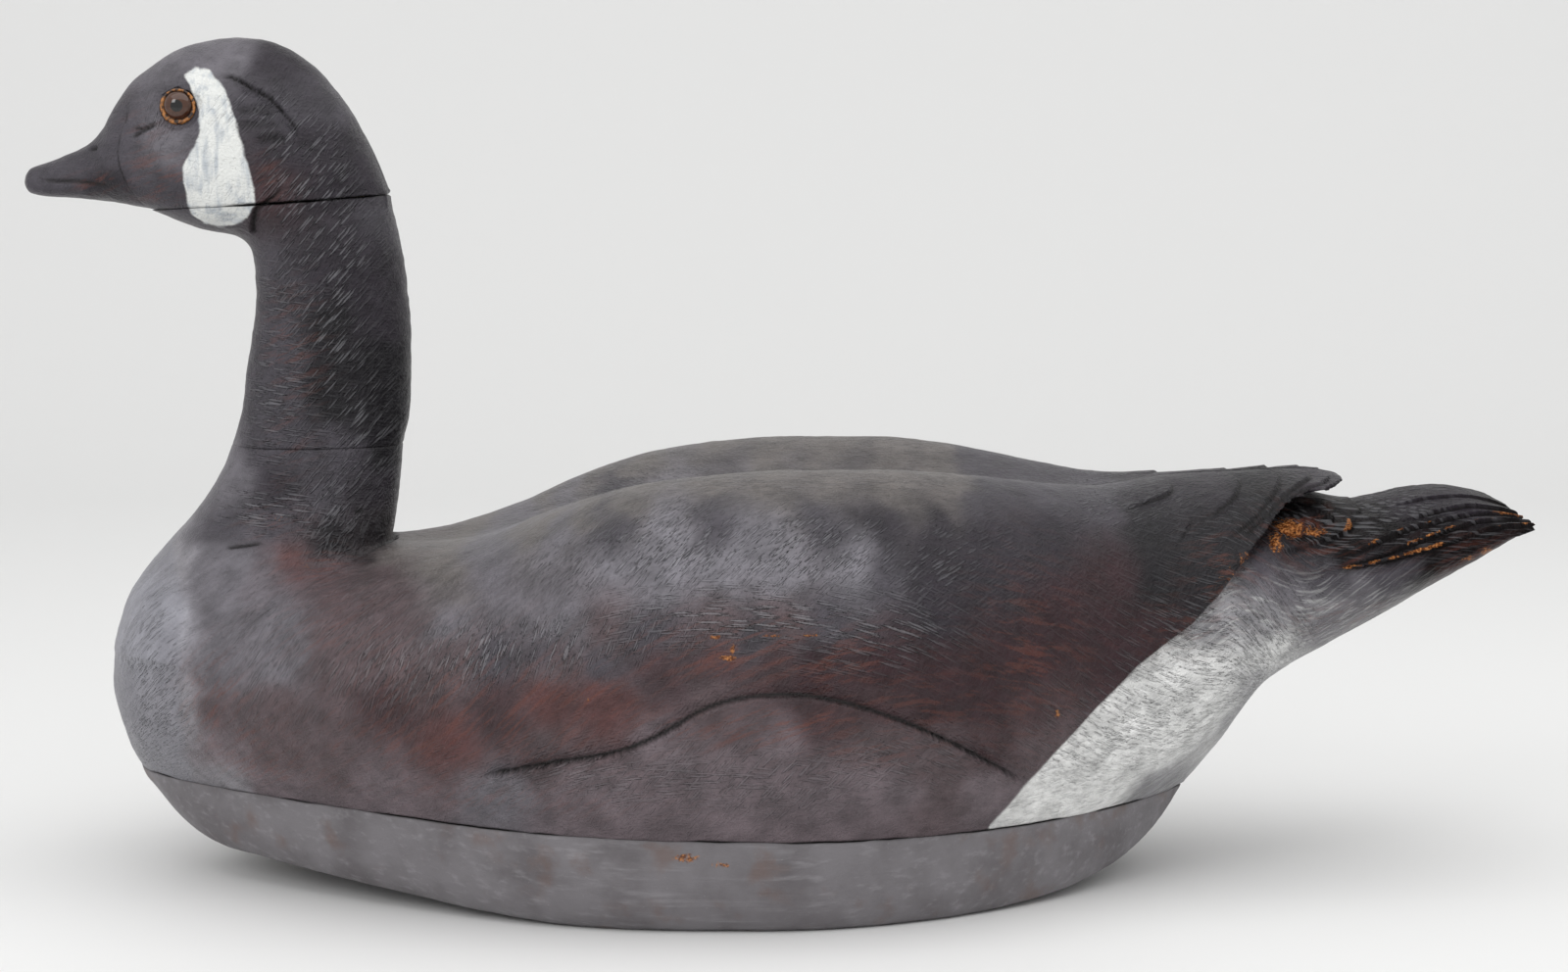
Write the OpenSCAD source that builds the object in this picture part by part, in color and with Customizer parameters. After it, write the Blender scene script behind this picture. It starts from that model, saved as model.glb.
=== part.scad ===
// Carved wooden goose decoy: hollow body shell on a bottom board, with a
// laminated neck and head, glass eyes, dowels, screws, ballast and a line ring.
// The goose looks along -X, its left side faces -Y, and +Z is up. The origin is
// on the resting plane, midway between the bill's tip and the tail's end.

/* [Carving] */
// Length from the bill's tip to the tail's end
total_length = 648; // [600:1:700]
// Greatest width of the body
beam = 300; // [280:1:320]
// Height of the crown over the resting plane
total_height = 365; // [350:1:385]

/* [Hollow] */
// Wood left around the hollow at the bottom seam
rim = 40; // [37:1:42]
// Wood left over the hollow, under the back
roof = 26; // [22:1:30]
// Wood left under the hollow, in the bottom board
floor_thickness = 20; // [19:1:22]

/* [Eyes] */
// Diameter of the glass eyes
eye_diameter = 13; // [12:0.5:14]
// Width of the putty around each eye
putty_width = 1.1; // [0.8:0.1:1.4]

/* [Joinery] */
// Diameter of the hardwood dowels in the neck
dowel_diameter = 9.5; // [8:0.5:10]
// Glue gap around every dowel, pin, plug and screw
glue_gap = 0.1; // [0.06:0.01:0.2]
// Shank diameter of the bottom board's screws
screw_diameter = 4.5; // [4:0.1:5]

/* [Ballast and line] */
// Length of the lead ballast
ballast_length = 110; // [80:1:130]
// Width of the lead ballast
ballast_width = 44; // [36:1:50]
// Diameter of the staple's and the ring's wire
wire_diameter = 3; // [2.5:0.1:3]
// Radius of the line ring, at the middle of its wire
ring_radius = 11; // [10:0.5:12]

/* [Hidden] */
$fn = 48;

// The lines below are drawn for these sizes and are scaled to the ones above.
drawn_length = 648;
drawn_beam = 300;
drawn_height = 365;
kx = total_length / drawn_length;
ky = beam / drawn_beam;
kz = total_height / drawn_height;

// ---- Lines of the body: [station along X, value] ----
// Half width where the bottom seam cuts the body
seam_width = [
    [-280, 0], [-276, 11], [-268, 22.5], [-254, 36], [-230, 53], [-195, 74.5],
    [-155, 97], [-115, 117], [-80, 128.5], [-40, 133.5], [0, 133],
    [40, 125], [86, 103.5], [129, 70], [155, 42], [172, 18], [182, 0]
];
// Greatest half width, and the height where it lies
beam_width = [
    [-289.5, 7], [-288, 17], [-284, 30], [-277, 43], [-264, 57], [-245, 72],
    [-220, 88], [-180, 110], [-140, 127.5], [-100, 141], [-60, 148.5],
    [-20, 150], [20, 148.5], [50, 142.5], [80, 131], [110, 116], [140, 99.5],
    [180, 80], [210, 69.5], [240, 63.5], [280, 61], [324, 62]
];
beam_level = [
    [-289.5, 85], [-270, 88], [-220, 92], [-100, 95], [0, 95], [80, 97],
    [140, 102], [180, 112], [208, 126], [230, 136], [254, 142], [286, 150],
    [310, 156.5], [324, 159.5]
];
// Crest of the folded wings: its distance from the middle, and its height
crest_offset = [
    [-289.5, 0], [-190, 6], [-160, 18], [-118, 42], [-60, 61], [0, 67],
    [50, 67], [95, 55], [130, 36], [160, 15], [185, 3], [324, 0]
];
crest_level = [
    [-289.5, 90], [-288, 97], [-284, 112], [-276, 124], [-262, 134],
    [-240, 141], [-200, 144], [-165, 145.5], [-141, 148.5], [-118, 155],
    [-93, 165.5], [-61, 176], [-28, 181.5], [10, 184], [45, 184], [75, 182],
    [100, 178.5], [125, 174.5], [145, 172.8], [167, 174.5], [188, 176],
    [231, 178], [242, 176],
    [247, 167], [254, 163], [266, 164.5], [285, 168], [297, 168.5],
    [311, 166], [324, 161.5]
];
// How far the middle of the back lies under the crest
valley_depth = [
    [-289.5, 0], [-170, 0], [-118, 5], [-60, 12], [0, 14], [60, 12],
    [100, 8], [140, 3], [175, 0], [324, 0]
];
// Underside, from the bow over the flat rest to the stern
keel_level = [
    [-289.5, 80], [-288, 74], [-285, 62], [-283.5, 56], [-280, 45.8],
    [-271, 36], [-262, 27], [-252, 20.5], [-240, 16], [-215, 13],
    [-180, 9.2], [-140, 5.2], [-104, 1.8], [-84, 0.4], [-70, 0], [68, 0],
    [80, 0.3], [105, 1.6], [130, 4.6], [148, 9.5], [163, 17], [174, 26.5],
    [182, 36.4], [192, 48], [201, 59.5], [208, 70], [216, 80.5], [226, 88.5],
    [243, 98.5], [276, 117.5], [296, 131], [311, 143], [324, 157]
];
// Half width of the flat underside
sole_width = [
    [-280, 0], [-268, 8], [-252, 20], [-230, 36], [-195, 58], [-155, 80],
    [-115, 98.5], [-80, 110], [-40, 117], [0, 117.5], [40, 111], [86, 89],
    [129, 57], [155, 30], [172, 10], [182, 0]
];

// ---- Planes between the laminations ----
seam_front = [-280, 45.8]; // [x, z] where the bottom seam meets the bow
seam_rear = [182, 36.4];   // and the stern
neck_seam = 188.6;
head_seam_front = [-268, 291];
head_seam_rear = [-166, 297.4];

function line_at(p, q, x) = p[1] + (q[1] - p[1]) * (x - p[0]) / (q[0] - p[0]);
function seam_level(x) = line_at(seam_front, seam_rear, x);
function head_seam(x) = line_at(head_seam_front, head_seam_rear, x);

// ---- Lines of the head ----
head_top = [
    [-324, 305.5], [-322, 308.5], [-316, 310.5], [-308, 313.5],
    [-300, 317], [-294, 321], [-289, 327], [-285, 334], [-281, 340],
    [-276, 346.5], [-268, 352.5], [-258, 359], [-245, 363.2], [-230, 365],
    [-218, 363.6], [-208, 359.5], [-198, 352.5], [-190, 343.5],
    [-183, 334], [-177, 323], [-172, 312.5], [-168.5, 303.5], [-166.6, 299]
];
head_under = [
    [-324, 300.5], [-322, 298], [-316, 296.6], [-300, 295.4], [-285, 294],
    [-276, 292.4], [-268, 291]
];
head_width = [
    [-324, 4], [-322, 8], [-316, 11], [-308, 12], [-300, 13], [-294, 14.5],
    [-289, 17], [-285, 19.5], [-281, 22], [-276, 24.5], [-268, 27],
    [-258, 29.5], [-245, 31.5], [-232, 32], [-218, 31.4], [-208, 30.6],
    [-198, 29.6], [-190, 28.2], [-183, 25.8], [-177, 22.4], [-172, 17.8],
    [-168.5, 12], [-166.6, 7]
];
head_wide_level = [
    [-324, 302.5], [-316, 301], [-300, 301.5], [-285, 305], [-268, 306],
    [-245, 307], [-220, 306], [-190, 302], [-175, 299], [-166.6, 298]
];

// ---- Lines of the neck: [level, front, back, half width] ----
neck_rings = [
    [188.6, -236.5, -162, 27], [202, -232, -159, 26.2],
    [220, -229.5, -158, 25.6], [237, -226.5, -158, 25.5],
    [254, -224.5, -159, 26], [266, -224.5, -160.3, 26.8],
    [275, -226, -161.5, 27.5], [279, -229, -162.6, 28],
    [280.5, -239, -163, 28.4], [283, -250, -163.6, 28.8],
    [286, -258, -164.4, 29.1], [288.6, -263.5, -165, 29.3]
];
neck_base_rings = [
    [112, -283, -172, 71], [124, -280, -170, 64], [133, -275, -168.5, 56.5],
    [142, -268, -167, 49], [150, -261, -166, 42.5], [159, -253, -165, 36.5],
    [168, -246.5, -164, 32], [178, -240.5, -163, 29], [188.6, -236.5, -162, 27]
];

// ---- Fixed details ----
superness = 2.2;          // exponent of the neck's oval
side_fullness = [2, 2.3]; // exponent from the seam to the beam, and under the tail
fullness_start = 130;     // station where the side starts to fill out, and over what length
fullness_run = 70;
crown_exponent = 0.94;    // how the section rounds over from the beam to the crest
brow_exponent = 0.9;      // how the head rounds over from its widest level to its top
chin_half_width = 29.5;   // of the head where the seam cuts it
hollow_middle = -43;      // station of the hollow's middle
hollow_even_half = 110;   // half the length over which the rim keeps its width
hollow_end_run = 90;      // length over which the rim then runs thinner
hollow_thinning = 0.35;   // share of the rim's width lost at the ends
hollow_neck_limit = 100;  // top of the hollow under the neck
hollow_front = -246;
hollow_rear = 159;
hollow_corner = 10;       // of the hollow's section
seat_clearance = 0.02;    // between glass or putty and what holds it
ballast_rise = 0.4;       // of the ballast's face above the resting plane
ballast_screw_radius = 1.8;
ballast_head_radius = 3.6;
screw_places = [[-165, 68], [-90, 96], [0, 104], [85, 76]];
screw_length = 46;
screw_head_radius = 4.2;
screw_head_height = 3;
plug_radius = 5;
plug_length = 5;
plug_recess = 0.7;        // of the plugs below the underside
pin_radius = 4;
pin_length = 30;
pin_stations = [-150, 60];
neck_dowel_length = 60;
neck_dowel_stations = [-218, -180];
head_dowel_length = 40;
head_dowel_stations = [-212, -182];
lag_station = -199;
lag_radius = 4;
lag_head_radius = 6.5;
lag_tip_level = 244;
washer_radius = 13;
washer_thickness = 2;
lag_seat_level = 104;     // where the washer bears, inside the hollow
ballast_thickness = 10;
ballast_center = -10;
ballast_screw_pitch = 70;
staple_station = -215;
staple_half_gap = 4.5;
staple_leg_top = 28;
staple_crown_level = 9.5;
ring_axis_level = 8.15;
ring_rest_tilt = 17.2;     // its far end just clears the resting plane
eye_station = -253;
eye_level = 335.8;
socket_floor = 17;        // distance of the socket's floor from the middle

// ---- Fair curves through the tables ----
function span(t, x, i = 0) = i >= len(t) - 2 || x < t[i + 1][0] ? i : span(t, x, i + 1);
function chord(t, i) = (t[i + 1][1] - t[i][1]) / (t[i + 1][0] - t[i][0]);
// The tangent is the gentler of the mean and twice either chord, and level at a peak.
function tangent(t, i) =
    i == 0 ? chord(t, 0) :
    i == len(t) - 1 ? chord(t, i - 1) :
    let (a = chord(t, i - 1), b = chord(t, i))
    a * b <= 0 ? 0 : sign(a) * min(abs(a + b) / 2, 2 * abs(a), 2 * abs(b));
function fair(t, x) =
    let (
        q = min(max(x, t[0][0]), t[len(t) - 1][0]),
        i = span(t, q),
        h = t[i + 1][0] - t[i][0],
        u = (q - t[i][0]) / h,
        a = t[i][1], b = t[i + 1][1],
        ta = tangent(t, i) * h, tb = tangent(t, i + 1) * h
    )
    a + u * (ta + u * (3 * (b - a) - 2 * ta - tb + u * (2 * (a - b) + ta + tb)));

function arc(s, p) = pow(max(0, 1 - pow(s, p)), 1 / p);
function steps(a, b, n) = [for (i = [0:n]) a + (b - a) * i / n];

// A half section is a list of [y, z] from the bottom middle to the top middle.
function ring_of(x, half) = concat(
    [for (p = half) [x * kx, p[0] * ky, p[1] * kz]],
    [for (i = [len(half) - 2:-1:1]) [x * kx, -half[i][0] * ky, half[i][1] * kz]]
);

module loft(rings) {
    n = len(rings[0]);
    m = len(rings);
    middle = function (r) [for (k = [0:2]) [for (p = r) p[k]] * [for (p = r) 1 / n]];
    points = concat([for (r = rings) each r], [middle(rings[0]), middle(rings[m - 1])]);
    sides = [
        for (i = [0:m - 2], j = [0:n - 1])
            let (a = i * n + j, b = i * n + (j + 1) % n)
            each [[a, b + n, b], [a, a + n, b + n]]
    ];
    caps = [
        for (j = [0:n - 1])
            let (k = (j + 1) % n, e = (m - 1) * n)
            each [[n * m, j, k], [n * m + 1, e + k, e + j]]
    ];
    polyhedron(points, concat(sides, caps));
}

// ---- Body shell ----
body_stations = concat(
    [-289.5, -288.4, -286.4, -283.4, -279.5],
    steps(-275, -245, 4), steps(-232, -172, 5), steps(-158, 170, 21),
    steps(182, 240, 7), [243.5, 247, 251], steps(258, 314, 5), [324]
);
function body_low(x) = x < seam_front[0] || x > seam_rear[0] ? fair(keel_level, x) : seam_level(x);
function body_half(x) =
    let (
        ws = max(0.8, fair(seam_width, x)), low = body_low(x),
        wm = fair(beam_width, x), zm = max(low + 1, fair(beam_level, x)),
        yc = fair(crest_offset, x), zc = max(zm + 1, fair(crest_level, x)),
        zv = zc - fair(valley_depth, x),
        full = side_fullness[0] + (side_fullness[1] - side_fullness[0])
            * max(0, min(1, (x - fullness_start) / fullness_run))
    )
    concat(
        [[0, low], [ws, low]],
        [for (t = [1:4]) let (s = t / 4)
            [ws + (wm - ws) * (1 - pow(1 - s, full)), low + (zm - low) * s]],
        [for (t = [1:7]) let (a = 90 * t / 7)
            [yc + (wm - yc) * cos(a) + 0.01, zm + (zc - zm) * pow(sin(a), crown_exponent)]],
        [for (t = [1:3]) let (s = t / 3)
            [yc * (1 - s) + 0.01 * (1 - s), zv + (zc - zv) * (1 + cos(180 * s)) / 2]]
    );

// The neck's oval at one level
function oval(front, back, half, n = 32) = [
    for (i = [0:n - 1])
        let (a = 360 * i / n, c = cos(a), s = sin(a), e = 2 / superness)
        [
            (front + back) / 2 + (back - front) / 2 * sign(c) * pow(abs(c), e),
            half * sign(s) * pow(abs(s), e)
        ]
];
function neck_ring(r) = [for (p = oval(r[1], r[2], r[3])) [p[0] * kx, p[1] * ky, r[0] * kz]];
function neck_top_ring() = [
    for (p = oval(head_seam_front[0], head_seam_rear[0], chin_half_width))
        [p[0] * kx, p[1] * ky, head_seam(p[0]) * kz]
];

hollow_stations = concat([hollow_front, -242], steps(-232, 148, 19), [155, hollow_rear]);
function hollow_width(x) = max(1, fair(seam_width, x) - rim * (1 - hollow_thinning * end_share(x)));
// 1 at the hollow's ends, where the rim runs thinner, and 0 along its middle
function end_share(x) =
    max(0, min(1, (abs(x - hollow_middle) - hollow_even_half) / hollow_end_run));
// Under the back, lower under the neck, and sloped at both ends
function hollow_top(x) =
    min(fair(crest_level, x) - fair(valley_depth, x) - roof,
        x < -150 ? hollow_neck_limit + (x + 150) * 0.1 : total_height,
        seam_level(x) + 30 + 1.6 * min(x - hollow_front, hollow_rear - x));
module body_hollow() {
    loft([
        for (x = hollow_stations)
            let (w = hollow_width(x), top = hollow_top(x), c = min(hollow_corner, w * 0.7))
            ring_of(x, [
                [0, seam_level(x) - 6], [w, seam_level(x) - 6], [w, top - c],
                [w - 0.3 * c, top - 0.3 * c], [w - c, top], [0, top]
            ])
    ]);
}

module body_shell() {
    color("#3d3836")
    difference() {
        union() {
            loft([for (x = body_stations) ring_of(x, body_half(x))]);
            loft([for (r = neck_base_rings) neck_ring(r)]);
        }
        body_hollow();
        for (x = neck_dowel_stations)
            bore(x, 0, neck_seam - neck_dowel_length / 2, neck_seam + 1, dowel_diameter / 2);
        bore(lag_station, 0, 80, neck_seam + 1, lag_radius);
        bore(lag_station, 0, 80, lag_seat_level, washer_radius + 1);
        each_screw() cylinder(r = screw_diameter / 2 + glue_gap, h = screw_length);
        each_pin() cylinder(r = pin_radius + glue_gap, h = pin_length / 2 + 1);
    }
}

// A round hole along Z between two drawn levels
module bore(x, y, low, high, radius, gap = glue_gap)
    translate([x * kx, y * ky, low * kz])
        cylinder(r = radius + gap, h = (high - low) * kz);

// ---- Neck and head ----
module neck_block() {
    color("#2b292b")
    difference() {
        loft(concat([for (r = neck_rings) neck_ring(r)], [neck_top_ring()]));
        for (x = neck_dowel_stations)
            bore(x, 0, neck_seam - 1, neck_seam + neck_dowel_length / 2, dowel_diameter / 2);
        for (x = head_dowel_stations)
            bore(x, 0, head_seam(x) - head_dowel_length / 2, head_seam(x) + 8, dowel_diameter / 2);
        bore(lag_station, 0, neck_seam - 1, lag_tip_level, lag_radius);
    }
}

head_stations = concat(
    [-324, -323, -321, -317], steps(-311, -291, 4), steps(-287, -268, 5),
    steps(-262, -194, 9), steps(-188, -173, 4), [-169.5, -166.6]
);
function on_seam(x) = x > -267.9;
function seam_share(x) = min(1, abs((x - (head_seam_front[0] + head_seam_rear[0]) / 2)
    / ((head_seam_rear[0] - head_seam_front[0]) / 2)));
function head_half(x) =
    let (
        low = on_seam(x) ? head_seam(x) : fair(head_under, x),
        wl = max(0.8, on_seam(x) ? chin_half_width * arc(seam_share(x), superness)
            : 0.25 * fair(head_width, x)),
        wm = max(wl + 0.05, fair(head_width, x)), zt = fair(head_top, x),
        zm = min(max(low + 0.4, fair(head_wide_level, x)), zt - 0.6)
    )
    concat(
        [[0, low], [wl, low]],
        [for (t = [1:4]) [wl + (wm - wl) * sin(22.5 * t), zm - (zm - low) * (1 - sin(22.5 * t))]],
        [for (t = [1:6]) [wm * pow(cos(15 * t), brow_exponent), zm + (zt - zm) * sin(15 * t)]]
    );

module head_block() {
    color("#2f2d2f")
    difference() {
        loft([for (x = head_stations) ring_of(x, head_half(x))]);
        for (x = head_dowel_stations)
            bore(x, 0, head_seam(x) - 8, head_seam(x) + head_dowel_length / 2, dowel_diameter / 2);
        for (side = [-1, 1])
            at_eye(side) cylinder(r = eye_diameter / 2 + putty_width, h = 30);
    }
}

module head_dowels()
    color("#c9a06a")
    for (x = head_dowel_stations)
        dowel(x, head_seam(x), head_dowel_length);

module neck_dowels()
    color("#c9a06a")
    for (x = neck_dowel_stations)
        dowel(x, neck_seam, neck_dowel_length);

module dowel(x, level, length)
    translate([x * kx, 0, (level - length / 2) * kz + 1])
        cylinder(d = dowel_diameter, h = length * kz - 2);

module neck_lag_screw() {
    seat = lag_seat_level * kz;
    color("#8d8f92")
    translate([lag_station * kx, 0, 0]) {
        translate([0, 0, seat - washer_thickness])
            cylinder(r = lag_radius, h = lag_tip_level * kz - seat - 1);
        translate([0, 0, seat - washer_thickness - 6])
            cylinder(r = lag_head_radius, h = 6, $fn = 6);
    }
}

module neck_washer()
    color("#9a9c9e")
    translate([lag_station * kx, 0, lag_seat_level * kz - washer_thickness])
        difference() {
            cylinder(r = washer_radius, h = washer_thickness);
            translate([0, 0, -1]) cylinder(r = lag_radius + 0.3, h = washer_thickness + 2);
        }

// ---- Eyes: the local Z axis points out of the socket ----
module at_eye(side)
    translate([eye_station * kx, side * socket_floor * ky, eye_level * kz])
        rotate([side < 0 ? 90 : -90, 0, 0]) children();

putty_floor = 3;
putty_height = 7.6;
iris_thickness = 1;
pupil_radius = 2.7;
pupil_thickness = 0.6;
glass_wall = 2.6;
glass_dome = 4.8;

module eye_putty(side) {
    r = eye_diameter / 2;
    color("#a0622d")
    at_eye(side)
    difference() {
        cylinder(r = r + putty_width - seat_clearance, h = putty_height);
        translate([0, 0, putty_floor]) cylinder(r = r + 0.05, h = putty_height);
    }
}

module eye_iris(side)
    color("#4a2614")
    at_eye(side)
    translate([0, 0, putty_floor]) cylinder(r = eye_diameter / 2 - 0.2, h = iris_thickness);

module eye_pupil(side)
    color("#080808")
    at_eye(side)
    translate([0, 0, putty_floor + iris_thickness]) cylinder(r = pupil_radius, h = pupil_thickness);

module eye_glass(side) {
    r = eye_diameter / 2;
    ball = (r * r + glass_dome * glass_dome) / (2 * glass_dome);
    color("#c8a070", 0.4)
    at_eye(side)
    translate([0, 0, putty_floor + iris_thickness])
    difference() {
        union() {
            cylinder(r = r, h = glass_wall);
            intersection() {
                translate([0, 0, glass_wall + glass_dome - ball]) sphere(r = ball);
                translate([0, 0, glass_wall]) cylinder(r = r, h = glass_dome + 1);
            }
        }
        translate([0, 0, -1]) cylinder(r = pupil_radius + seat_clearance, h = 1 + pupil_thickness);
    }
}

// ---- Bottom board ----
board_stations = concat(
    [-279.6, -277, -273, -267, -260, -252], steps(-240, -104, 9), [-92],
    [-84], steps(-70, 50, 6), [68, 80], steps(92, 152, 5), [160, 167, 173, 178, 181.4]
);
function board_half(x) =
    let (
        top = seam_level(x), low = min(fair(keel_level, x), top - 0.5),
        wt = max(0.8, fair(seam_width, x)),
        wb = max(0.5, min(fair(sole_width, x), wt - 0.2))
    )
    concat(
        [[0, low], [wb, low]],
        [for (t = [1:5]) [wb + (wt - wb) * sin(15 * t) / sin(75),
            top - (top - low) * (cos(15 * t) - cos(75)) / (1 - cos(75))]],
        [[0, top]]
    );

module board_hollow() {
    loft([
        for (x = hollow_stations)
            let (w = hollow_width(x), low = fair(keel_level, x) + floor_thickness / kz,
                 c = min(8, w * 0.7))
            ring_of(x, [
                [0, low], [w - c, low], [w - 0.3 * c, low + 0.3 * c], [w, low + c],
                [w, seam_level(x) + 6], [0, seam_level(x) + 6]
            ])
    ]);
}

module each_screw()
    for (p = screw_places, side = [-1, 1])
        translate([p[0] * kx, side * p[1] * ky, fair(keel_level, p[0]) * kz + plug_length])
            children();

module each_pin()
    for (x = pin_stations, side = [-1, 1])
        translate([x * kx, side * (fair(seam_width, x) - rim / 2) * ky, seam_level(x) * kz])
            children();

module bottom_board() {
    color("#55565a")
    difference() {
        loft([for (x = board_stations) ring_of(x, board_half(x))]);
        board_hollow();
        each_screw() {
            cylinder(r = screw_diameter / 2 + glue_gap, h = screw_length);
            cylinder(r = screw_head_radius + glue_gap, h = screw_head_height);
            translate([0, 0, -plug_length - 10])
                cylinder(r = plug_radius + glue_gap, h = plug_length + 10.01);
        }
        each_pin() translate([0, 0, -pin_length / 2]) cylinder(r = pin_radius + glue_gap, h = pin_length);
        translate([ballast_center * kx, 0, -1]) ballast_shape(ballast_thickness + 1.4, 0.3);
        each_ballast_screw() cylinder(r = ballast_screw_radius + glue_gap, h = 16);
        for (s = [-1, 1])
            bore(staple_station + s * staple_half_gap, 0, -1, staple_leg_top, wire_diameter / 2, 0.05);
    }
}

module locating_pins()
    color("#c9a06a")
    each_pin() translate([0, 0, 0.5 - pin_length / 2]) cylinder(r = pin_radius, h = pin_length - 1);

module bottom_screws()
    color("#8a7c4e")
    each_screw() {
        cylinder(r = screw_diameter / 2, h = screw_length - 1);
        cylinder(r = screw_head_radius, h = screw_head_height);
    }

module bottom_screw_plugs()
    color("#6a675f")
    each_screw() translate([0, 0, plug_recess - plug_length])
        cylinder(r = plug_radius, h = plug_length - plug_recess - 0.1);

// ---- Ballast, staple and ring ----
module ballast_shape(h, grow = 0)
    linear_extrude(height = h)
    intersection() {
        square([ballast_length + 2 * grow, ballast_width + 2 * grow], center = true);
        circle(r = ballast_length / 2 + grow);
    }

module each_ballast_screw()
    for (s = [-1, 1])
        translate([ballast_center * kx + s * ballast_screw_pitch / 2, 0, ballast_rise]) children();

module ballast_weight()
    color("#7d8084")
    difference() {
        translate([ballast_center * kx, 0, ballast_rise]) ballast_shape(ballast_thickness);
        each_ballast_screw() {
            cylinder(r = ballast_screw_radius + 0.3, h = 2 * ballast_thickness);
            translate([0, 0, -1]) cylinder(r = ballast_head_radius + 0.4, h = 3.6);
        }
    }

module ballast_screws()
    color("#a08c50")
    each_ballast_screw() {
        translate([0, 0, 0.2]) cylinder(r = ballast_head_radius, h = 2.2);
        translate([0, 0, 0.2]) cylinder(r = ballast_screw_radius, h = 15);
    }

module line_staple() {
    r = wire_diameter / 2;
    color("#6b6259")
    translate([staple_station * kx, 0, 0]) {
        for (s = [-1, 1])
            translate([s * staple_half_gap, 0, staple_crown_level])
                cylinder(r = r, h = staple_leg_top * kz - staple_crown_level - 1);
        translate([0, 0, staple_crown_level])
            rotate([-90, 0, 0])
                rotate_extrude(angle = 180)
                    translate([staple_half_gap, 0]) circle(r = r);
    }
}

module line_ring()
    color("#8a8175")
    translate([staple_station * kx, 0, ring_axis_level])
        rotate([0, ring_rest_tilt, 0])
            translate([ring_radius, 0, 0])
                rotate_extrude() translate([ring_radius, 0]) circle(r = wire_diameter / 2);

head_block();
neck_block();
body_shell();
bottom_board();
eye_glass(-1);  // eye_glass_left
eye_glass(1);  // eye_glass_right
eye_iris(-1);  // eye_iris_left
eye_iris(1);  // eye_iris_right
eye_pupil(-1);  // eye_pupil_left
eye_pupil(1);  // eye_pupil_right
eye_putty(-1);  // eye_putty_left
eye_putty(1);  // eye_putty_right
head_dowels();
neck_dowels();
neck_lag_screw();
neck_washer();
locating_pins();
bottom_screws();
bottom_screw_plugs();
ballast_weight();
ballast_screws();
line_staple();
line_ring();
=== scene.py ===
"""Looks of the carved goose decoy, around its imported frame.

The carving is one field: negative inside the wood, zero on its surface. It is
meshed, its small cuts are pressed in, and it is sawn along the glue joints into
the blocks that the frame holds. Lengths are in drawn mm until a mesh is made.
"""
import math

import bmesh
import bpy
import numpy as np
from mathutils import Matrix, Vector


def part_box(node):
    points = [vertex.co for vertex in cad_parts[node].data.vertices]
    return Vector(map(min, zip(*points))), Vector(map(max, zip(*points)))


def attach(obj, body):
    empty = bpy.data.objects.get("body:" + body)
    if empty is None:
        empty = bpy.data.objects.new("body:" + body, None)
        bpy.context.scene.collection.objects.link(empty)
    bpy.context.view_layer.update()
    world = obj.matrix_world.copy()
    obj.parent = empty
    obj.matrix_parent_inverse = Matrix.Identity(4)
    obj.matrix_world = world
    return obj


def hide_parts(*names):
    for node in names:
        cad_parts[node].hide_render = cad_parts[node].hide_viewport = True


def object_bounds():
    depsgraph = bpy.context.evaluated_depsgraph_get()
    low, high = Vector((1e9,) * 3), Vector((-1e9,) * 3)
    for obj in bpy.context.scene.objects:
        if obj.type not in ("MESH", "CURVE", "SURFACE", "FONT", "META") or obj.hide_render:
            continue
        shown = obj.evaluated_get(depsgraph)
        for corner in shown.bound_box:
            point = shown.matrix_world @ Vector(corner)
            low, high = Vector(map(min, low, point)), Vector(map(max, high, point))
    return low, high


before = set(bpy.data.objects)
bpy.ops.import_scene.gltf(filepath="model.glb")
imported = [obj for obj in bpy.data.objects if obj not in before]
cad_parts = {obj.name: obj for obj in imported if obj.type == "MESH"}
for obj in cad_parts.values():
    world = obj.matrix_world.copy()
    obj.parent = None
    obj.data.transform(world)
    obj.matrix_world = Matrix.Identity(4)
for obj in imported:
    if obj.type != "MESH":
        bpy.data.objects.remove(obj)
cad_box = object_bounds()

# ---- Driving dimensions, from the frame ----
DRAWN_SIZE = np.array([648.0, 300.0, 365.0])
box_low, box_high = (np.array(corner) for corner in cad_box)
FIT = (box_high - box_low) / DRAWN_SIZE  # metres for each drawn mm
CELL = 2.0        # of the first mesh, which is halved once

# ---- Lines of the body: (station along X, value) ----
BOW, STERN, TAIL_END = -289.5, 182.0, 324.0
SEAM_FRONT, SEAM_REAR = (-280.0, 45.8), (182.0, 36.4)
NECK_SEAM = 188.6
HEAD_SEAM_FRONT, HEAD_SEAM_REAR = (-268.0, 291.0), (-166.0, 297.4)
SEAM_WIDTH = [
    (-280, 0), (-276, 11), (-268, 22.5), (-254, 36), (-230, 53), (-195, 74.5), (-155, 97), (-115, 117),
    (-80, 128.5), (-40, 133.5), (0, 133), (40, 125), (86, 103.5), (129, 70), (155, 42), (172, 18),
    (182, 0),
]
BEAM_WIDTH = [
    (-289.5, 7), (-288, 17), (-284, 30), (-277, 43), (-264, 57), (-245, 72), (-220, 88), (-180, 110),
    (-140, 127.5), (-100, 141), (-60, 148.5), (-20, 150), (20, 148.5), (50, 142.5), (80, 131), (110, 116),
    (140, 99.5), (180, 80), (210, 69.5), (240, 63.5), (280, 61), (324, 62),
]
BEAM_LEVEL = [
    (-289.5, 85), (-270, 88), (-220, 92), (-100, 95), (0, 95), (80, 97), (140, 102), (180, 112),
    (208, 126), (230, 136), (254, 142), (286, 150), (310, 156.5), (324, 159.5),
]
CREST_OFFSET = [
    (-289.5, 0), (-190, 6), (-160, 18), (-118, 42), (-60, 61), (0, 67), (50, 67), (95, 55), (130, 36),
    (160, 15), (185, 3), (324, 0),
]
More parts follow.
